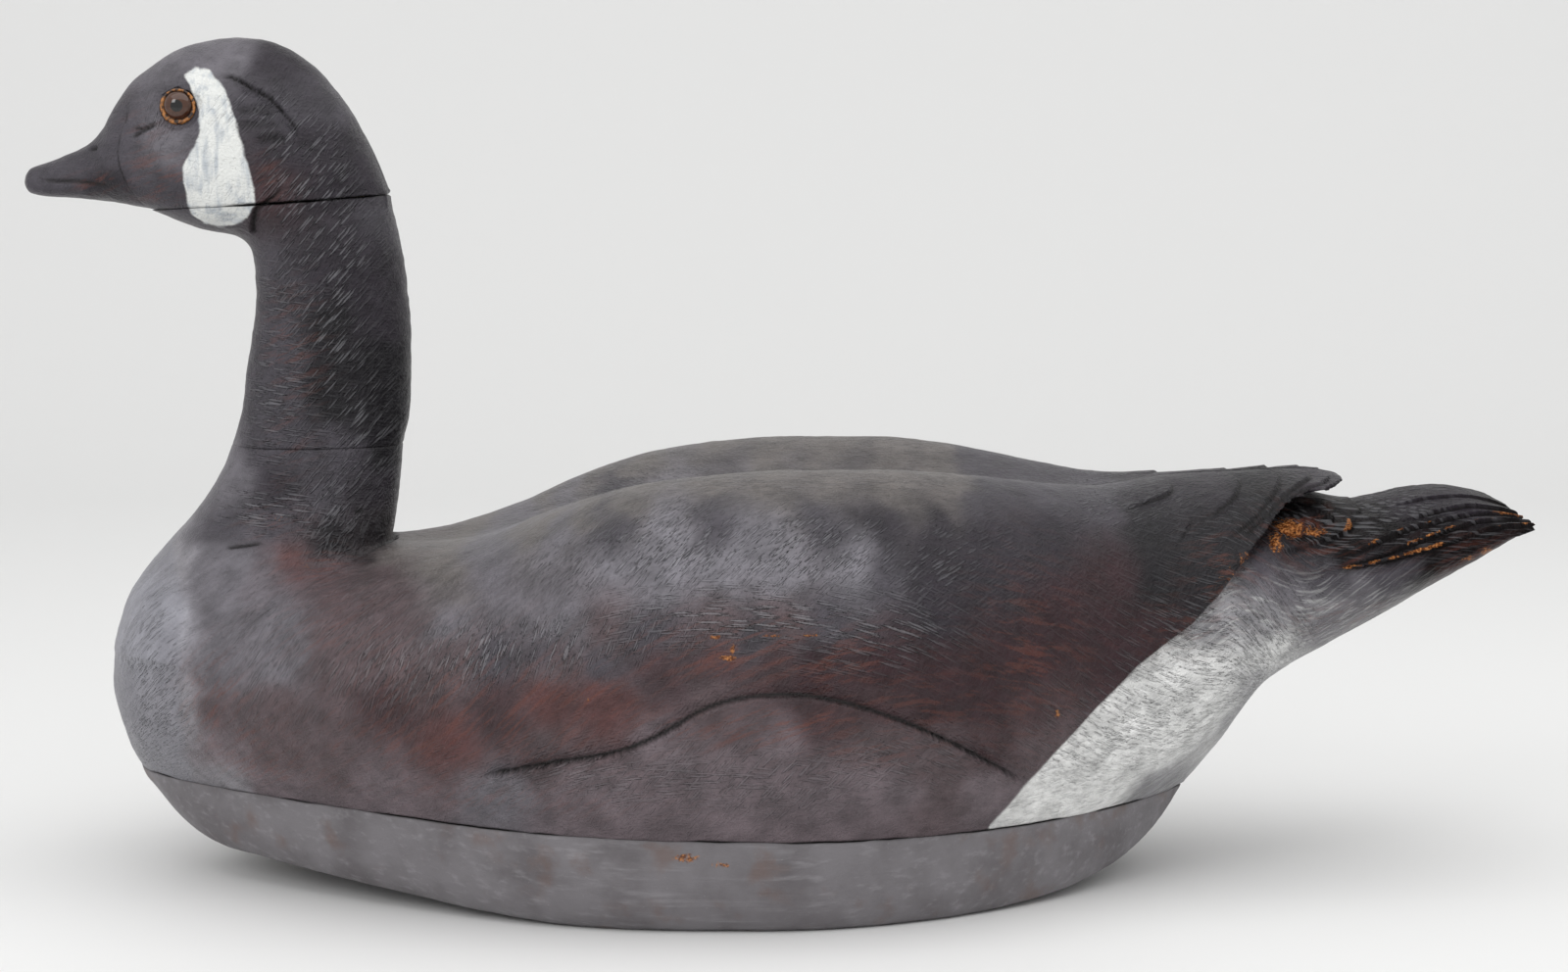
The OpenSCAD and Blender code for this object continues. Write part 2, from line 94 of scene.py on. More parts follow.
CREST_LEVEL = [
    (-289.5, 90), (-288, 97), (-284, 112), (-276, 124), (-262, 134), (-240, 141), (-200, 144),
    (-165, 145.5), (-141, 148.5), (-118, 155), (-93, 165.5), (-61, 176), (-28, 181.5), (10, 184),
    (45, 184), (75, 182), (100, 178.5), (125, 174.5), (145, 172.8), (167, 174.5), (188, 176), (231, 178),
    (242, 176.6), (250, 174), (254, 168), (256, 163), (324, 160),
]
VALLEY_DEPTH = [
    (-289.5, 0), (-170, 0), (-118, 5), (-60, 12), (0, 14), (60, 12), (100, 8), (140, 3), (175, 0),
    (324, 0),
]
KEEL_LEVEL = [
    (-289.5, 80), (-288, 74), (-285, 62), (-283.5, 56), (-280, 45.8), (-271, 36), (-262, 27),
    (-252, 20.5), (-240, 16), (-215, 13), (-180, 9.2), (-140, 5.2), (-104, 1.8), (-84, 0.4), (-70, 0),
    (68, 0), (80, 0.3), (105, 1.6), (130, 4.6), (148, 9.5), (163, 17), (174, 26.5), (182, 36.4),
    (192, 48), (201, 59.5), (208, 70), (216, 80.5), (226, 88.5), (243, 98.5), (276, 117.5), (296, 131),
    (311, 143), (324, 157),
]
SOLE_WIDTH = [
    (-280, 0), (-268, 8), (-252, 20), (-230, 36), (-195, 58), (-155, 80), (-115, 98.5), (-80, 110),
    (-40, 117), (0, 117.5), (40, 111), (86, 89), (129, 57), (155, 30), (172, 10), (182, 0),
]
# The rump and tail run on under the folded wings, a little inside them.
RUMP_CREST = [
    (-289.5, 90), (100, 120), (150, 165), (180, 167), (210, 166.5), (228, 167), (238, 166.4),
    (247, 164.4), (256, 163.4), (266, 164.5), (285, 168), (297, 168.5), (311, 166), (324, 161.5),
]
RUMP_INSET = [(60, 0), (110, 1.5), (150, 3), (190, 4.5), (225, 4), (250, 1), (268, 0)]
# Rear edge of a folded wing, seen from the side: (x, z)
WING_EDGE = [
    (40, -20), (104, 58), (118, 73), (135, 90.5), (152, 106), (176, 121.6), (186, 130.5), (195.5, 141.7),
    (205, 151.7), (210.4, 158), (217.7, 165.4), (225, 169.6), (236, 171), (243.5, 171.6), (250.5, 174.6),
    (262, 176),
]
# Its tip in plan: (x, distance from the middle)
WING_TIP = [
    (60, 300), (150, 160), (180, 110), (212, 64), (224, 50), (235, 38), (243, 24), (250, 10), (252, 3),
]
FEATHER_ENDS = [(0, 319.4), (15, 320.9), (31, 322.4), (46, 323.8)]

# ---- Lines of the neck and head ----
HEAD_TOP = [
    (-324, 305.5), (-322, 308.5), (-316, 310.5), (-308, 313.5), (-300, 317), (-294, 321), (-289, 327),
    (-285, 334), (-281, 340), (-276, 346.5), (-268, 352.5), (-258, 359), (-245, 363.2), (-230, 365),
    (-218, 363.6), (-208, 359.5), (-198, 352.5), (-190, 343.5), (-183, 334), (-177, 323), (-172, 312.5),
    (-168.5, 303.5), (-166.6, 299),
]
HEAD_UNDER = [
    (-324, 300.5), (-322, 298), (-316, 296.6), (-300, 295.4), (-285, 294), (-276, 292.4), (-268, 290.3),
    (-258, 286.2), (-245, 281.8), (-234, 280), (-222, 276), (-205, 272), (-166.6, 272),
]
HEAD_WIDTH = [
    (-324, 4), (-322, 8), (-316, 11), (-308, 12), (-300, 13), (-294, 14.5), (-289, 17), (-285, 19.5),
    (-281, 22), (-276, 24.5), (-268, 27), (-258, 29.5), (-245, 31.5), (-232, 32), (-218, 31.4),
    (-208, 30.6), (-198, 29.6), (-190, 28.2), (-183, 25.8), (-177, 22.4), (-172, 17.8), (-168.5, 12),
    (-166.6, 7),
]
HEAD_WIDE_LEVEL = [
    (-324, 302.5), (-316, 301), (-300, 301.5), (-285, 305), (-268, 306), (-245, 307), (-220, 306),
    (-190, 302), (-175, 299), (-166.6, 298),
]
BILL_TIP, NAPE = -324.0, -166.6
NECK_RINGS = [  # level, front, back, half width
    (104, -285, -176, 72), (112, -283, -172, 71), (124, -280, -170, 64),
    (133, -275, -168.5, 56.5), (142, -268, -167, 49), (150, -261, -166, 42.5),
    (159, -253, -165, 36.5), (168, -246.5, -164, 32), (178, -240.5, -163, 29),
    (188.6, -236.5, -162, 27), (202, -232, -159, 26.2), (220, -229.5, -158, 25.6),
    (237, -226.5, -158, 25.5), (254, -224.5, -159, 26), (266, -225, -160.3, 26.8),
    (276, -226, -161.8, 27.4), (288, -230, -164.5, 28.5), (300, -236, -168, 28),
    (312, -240, -173, 27),
]
NECK_OVAL = 2.2  # exponent


def fair(table, x):
    """A fair curve through a table of (station, value), level at its peaks."""
    stations, values = np.array(table, float).T
    x = np.clip(x, stations[0], stations[-1])
    chords = np.diff(values) / np.diff(stations)
    a, b = chords[:-1], chords[1:]
    gentle = np.minimum(abs(a + b) / 2, 2 * np.minimum(abs(a), abs(b)))
    inner = np.where(a * b <= 0, 0, np.sign(a) * gentle)
    tangents = np.concatenate([chords[:1], inner, chords[-1:]])
    i = np.clip(np.searchsorted(stations, x, "right") - 1, 0, len(stations) - 2)
    h = stations[i + 1] - stations[i]
    u = (x - stations[i]) / h
    p, q = values[i], values[i + 1]
    start, end = tangents[i] * h, tangents[i + 1] * h
    return p + u * (start + u * (3 * (q - p) - 2 * start - end + u * (2 * (p - q) + start + end)))


def line_at(p, q, x):
    return p[1] + (q[1] - p[1]) * (x - p[0]) / (q[0] - p[0])


def seam_level(x):
    return line_at(SEAM_FRONT, SEAM_REAR, x)


def hull_section(x, crest_table, inset):
    """Half a section of shell and board, as [y, z] from the keel up to the back's middle."""
    keel, seam = float(fair(KEEL_LEVEL, x)), seam_level(x)
    if SEAM_FRONT[0] < x < STERN:
        low, width = seam, max(0.8, float(fair(SEAM_WIDTH, x)))
        keel = min(keel, low - 0.3)
        sole = max(0.5, min(float(fair(SOLE_WIDTH, x)), width - 0.2))
        end = math.radians(75)
        turn = np.linspace(math.radians(5), end, 15)
        y = sole + (width - sole) * np.sin(turn) / math.sin(end)
        z = low - (low - keel) * (np.cos(turn) - math.cos(end)) / (1 - math.cos(end))
        points = [[0, keel], [sole / 2, keel], [sole, keel], *np.stack([y, z], 1).tolist()]
    else:
        low, width = keel, 0.8
        points = [[0, low], [width, low]]
    beam = max(float(fair(BEAM_WIDTH, x)) - inset, width + 0.1)
    level = max(low + 1, float(fair(BEAM_LEVEL, x)))
    offset = min(float(fair(CREST_OFFSET, x)), beam / 2)
    crest = max(level + 1, float(fair(crest_table, x)))
    valley = crest - float(fair(VALLEY_DEPTH, x))
    fullness = 2 + 0.3 * min(1, max(0, (x - 130) / 70))
    s = np.linspace(0, 1, 17)[1:]
    side = [width + (beam - width) * (1 - (1 - s) ** fullness), low + (level - low) * s]
    a = np.radians(np.linspace(0, 90, 25)[1:])
    upper = [offset + (beam - offset) * np.cos(a), level + (crest - level) * np.sin(a) ** 0.94]
    s = np.linspace(0, 1, 9)[1:]
    back = [offset * (1 - s), valley + (crest - valley) * (1 + np.cos(np.pi * s)) / 2]
    rows = [np.stack(part, 1) for part in (side, upper, back)]
    return np.concatenate([np.array(points), *rows])


def body_section(x):
    return hull_section(x, CREST_LEVEL, 0)


def rump_section(x):
    return hull_section(x, RUMP_CREST, float(fair(RUMP_INSET, x)))


def head_section(x):
    low, top = float(fair(HEAD_UNDER, x)), float(fair(HEAD_TOP, x))
    width, level = float(fair(HEAD_WIDTH, x)), float(fair(HEAD_WIDE_LEVEL, x))
    a = np.radians(np.linspace(-90, 0, 19))
    lower = [width * np.cos(a) ** 0.85, level + (level - low) * np.sin(a)]
    a = np.radians(np.linspace(0, 90, 25)[1:])
    upper = [width * np.cos(a) ** 0.9, level + (top - level) * np.sin(a)]
    return np.concatenate([np.stack(lower, 1), np.stack(upper, 1)])


class Lofted:
    """A solid of sections along X, each star-shaped about the middle of its own box."""
    STEP = 1.0
    ANGLES = np.radians(np.linspace(-90, 90, 241))

    def __init__(self, section, start, end):
        self.start, self.end = start, end
        rows = [self.measure(section(x)) for x in np.arange(start, end + self.STEP / 2, self.STEP)]
        self.half, self.middle, self.radius, self.girth = (np.array(column) for column in zip(*rows))
        self.count = len(rows)

    def measure(self, outline):
        low, high = outline[:, 1].min(), outline[:, 1].max()
        middle, half = (low + high) / 2, (outline[:, 0].max(), (high - low) / 2)
        t = np.linspace(0, len(outline) - 1, 8 * len(outline))
        k = np.clip(t.astype(int), 0, len(outline) - 2)
        share = (t - k)[:, None]
        p = outline[k] * (1 - share) + outline[k + 1] * share
        q = (p - [0, middle]) / half
        angle = np.maximum.accumulate(np.arctan2(q[:, 1], np.maximum(q[:, 0], 0)))
        walked = np.concatenate([[0], np.cumsum(np.hypot(*np.diff(p, axis=0).T))])
        radius = np.interp(self.ANGLES, angle, np.hypot(*q.T))
        return half, middle, radius, np.interp(self.ANGLES, angle, walked[-1] - walked)

    def look_up(self, table, i, f, j, g):
        near = table[i, j] * (1 - g) + table[i, j + 1] * g
        far = table[i + 1, j] * (1 - g) + table[i + 1, j + 1] * g
        return near * (1 - f) + far * f

    def place(self, p):
        u = np.clip((p[:, 0] - self.start) / self.STEP, 0, self.count - 1.000001)
        i = u.astype(int)
        f = u - i
        half = self.half[i] * (1 - f)[:, None] + self.half[i + 1] * f[:, None]
        middle = self.middle[i] * (1 - f) + self.middle[i + 1] * f
        y, z = abs(p[:, 1]) / half[:, 0], (p[:, 2] - middle) / half[:, 1]
        pitch = self.ANGLES[1] - self.ANGLES[0]
        v = np.clip((np.arctan2(z, y) - self.ANGLES[0]) / pitch, 0, len(self.ANGLES) - 1.000001)
        j = v.astype(int)
        return (i, f, j, v - j), half.min(1), np.hypot(y, z)

    def field(self, p):
        where, size, reach = self.place(p)
        inside = (reach - self.look_up(self.radius, *where)) * size
        return np.maximum(inside, np.maximum(self.start - p[:, 0], p[:, 0] - self.end))

    def girth_at(self, p):
        """How far round the section a point lies from the back's middle."""
        where, _, _ = self.place(p)
        return self.look_up(self.girth, *where)


class SideChart:
    """Signed distance from a line in the X-Z plane, positive behind and below it."""
    LOW, HIGH, STEP = np.array([30.0, -20.0]), np.array([330.0, 200.0]), 1.0

    def __init__(self, line):
        counts = ((self.HIGH - self.LOW) / self.STEP).astype(int) + 1
        x, z = np.meshgrid(*(self.LOW[k] + self.STEP * np.arange(counts[k]) for k in (0, 1)), indexing="ij")
        best, sign = np.full(x.shape, 1e9), np.ones(x.shape)
        for a, b in zip(np.array(line[:-1], float), np.array(line[1:], float)):
            along = b - a
            t = np.clip(((x - a[0]) * along[0] + (z - a[1]) * along[1]) / (along @ along), 0, 1)
            dx, dz = x - a[0] - t * along[0], z - a[1] - t * along[1]
            nearer = np.hypot(dx, dz) < best - 1e-9
            best = np.where(nearer, np.hypot(dx, dz), best)
            sign = np.where(nearer, np.sign(along[1] * dx - along[0] * dz), sign)
        self.table = best * np.where(sign == 0, 1, sign)

    def distance(self, p):
        u = (p[:, [0, 2]] - self.LOW) / self.STEP
        limit = np.array(self.table.shape) - 1.000001
        u = np.clip(u, 0, limit)
        i = u.astype(int)
        f, g = (u - i).T
        i, j = i.T
        t = self.table
        return ((t[i, j] * (1 - g) + t[i, j + 1] * g) * (1 - f)
                + (t[i + 1, j] * (1 - g) + t[i + 1, j + 1] * g) * f)


body_loft = Lofted(body_section, BOW, 256.0)
rump_loft = Lofted(rump_section, BOW, TAIL_END)
head_loft = Lofted(head_section, BILL_TIP, NAPE)
wing_edge = SideChart(WING_EDGE)


def soft_union(a, b, k):
    h = np.clip(0.5 + 0.5 * (b - a) / k, 0, 1)
    return b + (a - b) * h - k * h * (1 - h)


def tail_end(y):
    """Where the tail feathers stop: each one out from the middle a little farther back."""
    ends = np.full(len(y), FEATHER_ENDS[0][1])
    for (_, before), (start, after) in zip(FEATHER_ENDS, FEATHER_ENDS[1:]):
        ends += (after - before) * np.clip((y - start) / 1.2, 0, 1)
    return ends - 1.6 * np.clip((y - 56) / 6, 0, 1) ** 2


def hull_field(p):
    y = abs(p[:, 1])
    wing = np.maximum(body_loft.field(p), wing_edge.distance(p))
    wing = np.maximum(wing, 0.7 * (y - fair(WING_TIP, p[:, 0])))
    rump = np.maximum(rump_loft.field(p), p[:, 0] - tail_end(y))
    return np.minimum(wing, rump)


def neck_field(p):
    rings = np.array(NECK_RINGS, float)
    z = p[:, 2]
    front, back, half = (fair(rings[:, [0, k]], z) for k in (1, 2, 3))
    deep = (back - front) / 2
    x, y = abs(p[:, 0] - (front + back) / 2) / deep, abs(p[:, 1]) / half
    reach = (x ** NECK_OVAL + y ** NECK_OVAL) ** (1 / NECK_OVAL)
    inside = (reach - 1) * np.minimum(deep, half)
    return np.maximum(inside, np.maximum(rings[0, 0] - z, z - rings[-1, 0]))


def goose_field(p):
    upper = soft_union(neck_field(p), head_loft.field(p), np.interp(p[:, 0], [-210, -180], [6, 1.5]))
    fillet = np.interp(p[:, 0], [-280, -240, -185, -160], [14, 12, 5, 3])
    return soft_union(hull_field(p), upper, fillet)


# ---- Meshing ----
def surface_net(field, low, high, step):
    """Quads round a field's zero surface, with one corner in each cell that it crosses."""
    low = np.array(low, float)
    counts = np.ceil((np.array(high, float) - low) / step).astype(int) + 1
    axes = [low[k] + step * np.arange(counts[k]) for k in range(3)]
    plane = np.stack(np.meshgrid(axes[1], axes[2], indexing="ij"), -1).reshape(-1, 2)
    values = np.empty(tuple(counts), np.float32)
    for i, x in enumerate(axes[0]):
        slab = np.column_stack([np.full(len(plane), x), plane])
        values[i] = field(slab).reshape(counts[1], counts[2])
    inside = values < 0
    corners = [np.array([a, b, c]) for a in (0, 1) for b in (0, 1) for c in (0, 1)]
    n = counts - 1

    def shifted(grid, c):
        return grid[c[0]:c[0] + n[0], c[1]:c[1] + n[1], c[2]:c[2] + n[2]]

    total = sum(shifted(inside, c).astype(np.int8) for c in corners)
    cells = np.argwhere((total > 0) & (total < 8))
    ids = -np.ones(tuple(n), np.int64)
    ids[tuple(cells.T)] = np.arange(len(cells))
    at = [values[tuple((cells + c).T)] for c in corners]
    place, hits = np.zeros((len(cells), 3)), np.zeros(len(cells))
    for a in range(8):
        for b in range(a + 1, 8):
            if abs(corners[a] - corners[b]).sum() != 1:
                continue
            cross = (at[a] < 0) != (at[b] < 0)
            t = np.where(cross, at[a] / np.where(cross, at[a] - at[b], 1), 0)[:, None]
            place += np.where(cross[:, None], corners[a] + t * (corners[b] - corners[a]), 0)
            hits += cross
    quads = []
    for k in range(3):
        u, v = (k + 1) % 3, (k + 2) % 3
        before, after = np.delete(inside, -1, axis=k), np.delete(inside, 0, axis=k)
        edges = np.argwhere(before != after)
        whole = (edges[:, u] > 0) & (edges[:, v] > 0) & (edges[:, u] < n[u]) & (edges[:, v] < n[v])
        edges = edges[whole]
        around = []
        for du, dv in ((-1, -1), (0, -1), (0, 0), (-1, 0)):
            cell = edges.copy()
            cell[:, u] += du
            cell[:, v] += dv
            around.append(ids[tuple(cell.T)])
        quad = np.stack(around, 1)
        outward = before[tuple(edges.T)]
        quad[~outward] = quad[~outward][:, ::-1]
        quads.append(quad)
    return low + step * (cells + place / hits[:, None]), np.concatenate(quads)


def settle(field, p, limit, reach=0.4):
    """Moves points one step towards the field's zero surface."""
    slope = np.empty_like(p)
    for k in range(3):
        step = np.zeros(3)
        step[k] = reach
        slope[:, k] = (field(p + step) - field(p - step)) / (2 * reach)
    move = -field(p)[:, None] * slope / np.maximum((slope ** 2).sum(1), 1e-4)[:, None]
    size = np.linalg.norm(move, axis=1, keepdims=True)
    return p + move * np.minimum(1, limit / np.maximum(size, 1e-9))


def edges_of(quads):
    pairs = np.sort(np.concatenate([quads[:, [i, (i + 1) % 4]] for i in range(4)]), axis=1)
    key = pairs[:, 0] * (quads.max() + 1) + pairs[:, 1]
    _, index, back = np.unique(key, return_index=True, return_inverse=True)
    return pairs[index], back.reshape(4, -1).T


def relax(p, edges, share):
    total = np.zeros_like(p)
    count = np.bincount(edges.ravel(), minlength=len(p))[:, None]
    for a, b in ((0, 1), (1, 0)):
        for k in range(3):
            total[:, k] += np.bincount(edges[:, a], p[edges[:, b], k], len(p))
    return p + share * (total / count - p)


def halve(p, quads):
    edges, of_quad = edges_of(quads)
    centre = len(p) + len(edges) + np.arange(len(quads))
    e = len(p) + of_quad
    parts = [np.stack([quads[:, i], e[:, i], centre, e[:, i - 1]], 1) for i in range(4)]
    return np.concatenate([p, p[edges].mean(1), p[quads].mean(1)]), np.concatenate(parts)


def normals_of(p, quads):
    face = np.cross(p[quads[:, 2]] - p[quads[:, 0]], p[quads[:, 3]] - p[quads[:, 1]])
    total = np.zeros_like(p)
    for corner in range(4):
        for k in range(3):
            total[:, k] += np.bincount(quads[:, corner], face[:, k], len(p))
    return total / np.maximum(np.linalg.norm(total, axis=1, keepdims=True), 1e-12)


def carve_blank():
    """The goose before its small cuts."""
    p, quads = surface_net(goose_field, (-330, -158, -6), (330, 158, 372), CELL)
    edges, _ = edges_of(quads)
    for _ in range(3):
        p = settle(goose_field, relax(p, edges, 0.4), CELL / 2)
    p, quads = halve(p, quads)
    p = settle(goose_field, p, CELL / 4)
    edges, _ = edges_of(quads)
    return relax(p, edges, 0.3), quads


# ---- Noise ----
LATTICE = np.random.default_rng(7).random((64, 64, 64))


def value_noise(p):
    """Smooth noise from 0 to 1 with one random value at each whole coordinate."""
    cell = np.floor(p).astype(int)
    f = p - cell
    f = f * f * (3 - 2 * f)
    total = np.zeros(len(p))
    for a in (0, 1):
        for b in (0, 1):
            for c in (0, 1):
                i, j, k = ((cell + [a, b, c]) % 64).T
                weight = np.prod(np.where([a, b, c], f, 1 - f), axis=1)
                total += LATTICE[i, j, k] * weight
    return total


def layered_noise(p, layers=3):
    total, weight = 0, 0
    for k in range(layers):
        total = total + value_noise(p * 2 ** k + 17.3 * k) / 2 ** k
        weight += 1 / 2 ** k
    return total / weight


def smoothstep(low, high, x):
    t = np.clip((x - low) / (high - low), 0, 1)
    return t * t * (3 - 2 * t)


# ---- Cuts ----
class Route:
    """A smooth line over the surface, which cuts and worn edges follow."""
    STEPS = 6

    def __init__(self, points):
        p = np.array(points, float)
        p = np.concatenate([[2 * p[0] - p[1]], p, [2 * p[-1] - p[-2]]])
        fine = []
        for i in range(1, len(p) - 2):
            for t in np.arange(self.STEPS) / self.STEPS:
                a, b, c, d = p[i - 1:i + 3]
                fine.append(b + 0.5 * t * (c - a + t * (2 * a - 5 * b + 4 * c - d
                                                        + t * (3 * (b - c) + d - a))))
        self.points = np.array([*fine, p[-2]])

    def near(self, p, normals, reach):
        """The points within reach: their indices, signed distances and shares along."""
        low, high = self.points.min(0) - reach, self.points.max(0) + reach
        index = np.flatnonzero(((p > low) & (p < high)).all(1))
        q, n = p[index], normals[index]
        best, side, share = np.full(len(q), 1e9), np.ones(len(q)), np.zeros(len(q))
        lengths = np.linalg.norm(np.diff(self.points, axis=0), axis=1)
        starts = np.concatenate([[0], np.cumsum(lengths)])
        for a, b, start, length in zip(self.points[:-1], self.points[1:], starts, lengths):
            along = (b - a) / length
            t = np.clip((q - a) @ along, 0, length)
            away = q - a - t[:, None] * along
            gap = np.linalg.norm(away, axis=1)
            closer = gap < best
            best = np.where(closer, gap, best)
            side = np.where(closer, (away * np.cross(along, n)).sum(1), side)
            share = np.where(closer, (start + t) / starts[-1], share)
        kept = best < reach
        return index[kept], (best * np.where(side < 0, -1, 1))[kept], share[kept]


def fade(share, start, end):
    """1 along a cut's middle and 0 at its ends, over the given shares of its length."""
    opening = smoothstep(0, start, share) if start else 1
    closing = smoothstep(0, end, 1 - share) if end else 1
    return opening * closing


# Overlaps: the surface on the line's right stands over the other side, or on its left
# where the depth is below 0. Each is (route, depth, run-out of the drop, lip,
# fades at both ends, bare rim, width of the painted shade below the step). Routes lie on one side and serve
# both.
OVERLAPS = [
    # Feathers of the folded wing, from the middle of the back round each tip
    ([(156, -14, 173.4), (166, -8, 174.2), (171, -20, 174), (172.3, -28, 172.5), (169.5, -35.5, 171),
      (161.7, -43, 169), (154.3, -50.3, 167), (146.8, -57.6, 165.2)], 1.3, 7, 0.4, 0.5, 0.3, 0.05, 1.0),
    ([(186, -3.7, 175.8), (196.6, -8.5, 176.2), (201.6, -18, 175.3), (202, -25.5, 174),
      (198.6, -35.6, 170.5), (193.8, -42.3, 167.3), (187.5, -49, 163.5), (180.2, -53.9, 160.7)],
     1.4, 7, 0.4, 0.5, 0.25, 0.05, 1.0),
    ([(178.3, -48.8, 164), (177.8, -53, 161.5), (175.4, -58.5, 158), (169, -68, 151.3)],
     0.9, 6, 0.3, 0.3, 0.4, 0, 0.8),
    ([(198, -2, 176.6), (213, -4, 177.5), (218.5, -13, 177), (219.6, -22.5, 175.5), (217.3, -30.4, 173.3),
      (213.6, -38.8, 169.8), (206.4, -49, 163.7), (198, -56.5, 157.7), (188, -63.1, 151.6)],
     1.4, 5, 0.4, 0.35, 0.2, 0.08, 1.0),
    ([(218, -2, 177.7), (228.5, -6, 177.9), (233, -12.5, 177.3), (233, -19.5, 176.3), (229.3, -26.1, 174.9),
      (220.4, -36.4, 171.2), (211.5, -47.2, 165.1), (203, -55.3, 158.8), (195, -61.5, 152.9)],
     1.3, 4, 0.4, 0.35, 0.15, 0.08, 1.0),
    ([(230, -2, 178), (239.2, -7, 176.5), (242, -15, 175), (237, -26.5, 174.3), (229.8, -32, 173.2),
      (222, -38.5, 170.4), (213, -48.5, 164.3)], 1.1, 3, 0.3, 0.35, 0.3, 0.15, 0.9),
    # Coverts between the wing and the tail
    ([(216, -53, 156), (222, -50, 158), (230, -47, 160.5), (238, -43.5, 162), (242, -37.5, 163.5),
      (240, -29, 165), (236, -18, 166)], -2.0, 7, 0.5, 0.1, 0.3, 0.55, 1.2),
    ([(214, -60, 151), (222, -58, 153), (232, -55.5, 155.5), (241, -52, 157), (247, -45, 158.5),
      (248.5, -37, 160.5), (246, -28, 162.5)], -2.4, 8, 0.6, 0.1, 0.3, 0.9, 1.3),
    ([(252, -30, 161.6), (255, -20, 162.6), (255.5, -8, 163.2), (254, 0, 163.3)],
     -1.3, 6, 0.3, 0.2, 0, 0.2, 1.0),
    # Tail feathers, each from its end forward
    ([(322, -15.5, 162.8), (300, -18.5, 167.5), (280, -21, 166), (262, -23, 163)],
     1.0, 9, 0.4, 0, 0.3, 0.1, 1.0),
    ([(323, -31, 161.8), (303, -35, 166.2), (284, -40, 163.3), (266, -45, 158.8)],
     1.5, 7, 0.5, 0, 0.3, 0.2, 1.1),
    ([(324, -39, 161.2), (302.4, -44, 164), (283.3, -48.6, 160.5), (267, -51.6, 156.5),
      (251, -57, 150), (236, -61.5, 146)], 1.8, 5, 0.5, 0, 0.25, 0.5, 1.2),
    ([(324, -48, 160.6), (307.2, -51, 162), (288.2, -55, 158), (273.2, -57.9, 152.5), (251, -60.6, 145.5),
      (228, -63.5, 140.5)], 1.8, 4, 0.5, 0, 0.25, 0.42, 1.1),
    ([(324, -56, 159.8), (308, -57.6, 159), (291, -59.4, 154), (275.4, -60.3, 149), (246, -62.2, 142.2),
      (214, -66, 138)], 1.6, 4, 0.6, 0, 0.3, 0.5, 1.1),
    # The flank stands over the wing's lower edge
    ([(-119, -128, 66.5), (-101, -135.8, 70.3), (-85, -141.3, 74.2), (-69, -145, 77.5), (-55, -147.6, 81.5),
      (-41, -149.2, 88.5), (-27, -149.9, 97), (-10, -149.7, 102.1), (13, -148.7, 102.7), (33, -146.7, 98.4),
      (52.4, -141.5, 91), (72.5, -131.7, 80.3), (89, -120, 69.9), (104, -106, 59)],
     3.2, 9, 1.4, 0.04, 0.06, 0, 1.5),
    # The back stands over the neck's base
    ([(-223.4, -79, 114), (-214, -74.7, 123), (-199, -67.6, 132), (-185, -53.6, 139), (-176.4, -40, 142.7),
      (-167.5, -17, 145.7), (-165, 0, 145.7)], 1.6, 7, 1.2, 0.3, 0, 0.2, 1.4),
    # The face stands over the bill
    ([(-273.5, -6, 343), (-275.8, -19.5, 331.6), (-278.4, -20.8, 323.6), (-279.4, -22, 315),
      (-278.6, -23, 310.4), (-276.6, -24, 304.5), (-272.5, -21.6, 297.5), (-268.8, -13.6, 292.2)],
     -1.1, 4, 0.4, 0.25, 0.1, 0, 0.9),
    # The cheek stands over the throat
    ([(-223.2, -19.9, 280.9), (-222.5, -25.1, 286.4), (-220, -28.8, 292.4), (-215.5, -30.1, 295.7),
      (-209.4, -30.9, 300.5), (-205.1, -30.8, 304.7)], -1.9, 5, 0.7, 0.05, 0.4, 0.1, 1.3),
    # The hood stands over the scooped side of the head
    ([(-238, -22.6, 349), (-229, -23.3, 348), (-221.3, -24.7, 343.8), (-213.8, -25.4, 339.6),
      (-208.4, -26.3, 334.3), (-202.5, -27.5, 326.4), (-200, -28.4, 318)], -2.4, 11, 1.0, 0.2, 0.3, 0, 0.6),
]
# Narrow cuts: (route, depth, half width, fades at start and end), each darkened along its floor as painted
# shade
CUTS = [
    ([(-294, -9, 317), (-290, -12.8, 317.6)], 1.2, 0.9, 0.2, 0.2),
    ([(-321, -6, 304.5), (-310.4, -11.4, 303.6), (-298.2, -13.2, 303.4), (-286.5, -18.1, 301.6),
      (-278, -22.9, 300.4)], 0.4, 0.9, 0.1, 0.3),
    ([(-273.1, -24, 321.5), (-269.7, -24.5, 324.2), (-260.7, -26.3, 328.5)], 0.8, 0.8, 0.2, 0.3),
    ([(-274, -23, 327), (-268, -24.4, 326.2), (-262, -26, 329.5)], 0.5, 0.7, 0.3, 0.3),
    ([(-284, -10, 333), (-281, -15.5, 333.6), (-277, -19, 333.8)], 0.6, 0.8, 0.3, 0.3),
    ([(-234.3, -41.3, 147.8), (-226, -42.3, 149), (-217.2, -42.3, 150.2)], 1.1, 0.8, 0.2, 0.2),
    ([(-180.5, -28.5, 161.6), (-175.8, -25.1, 161.6)], 1.0, 0.7, 0.3, 0.3),
    ([(-229.3, -28.8, 333.2), (-218.8, -27.8, 334.3), (-208.4, -26.9, 332.2)], 1.2, 2.4, 0.25, 0.3),
    ([(-228.2, -30, 327.4), (-217.7, -29.1, 328.5), (-207.2, -28, 327.4)], 1.2, 2.4, 0.25, 0.3),
    ([(-220.8, -30.7, 320.6), (-213.4, -29.8, 322.2), (-204, -28.8, 321.1)], 1.0, 2.2, 0.25, 0.3),
    ([(160, 0, 173.5), (200, 0, 176.5), (238, 0, 177.5), (251, 0, 174.5)], 1.3, 1.4, 0.4, 0),
]
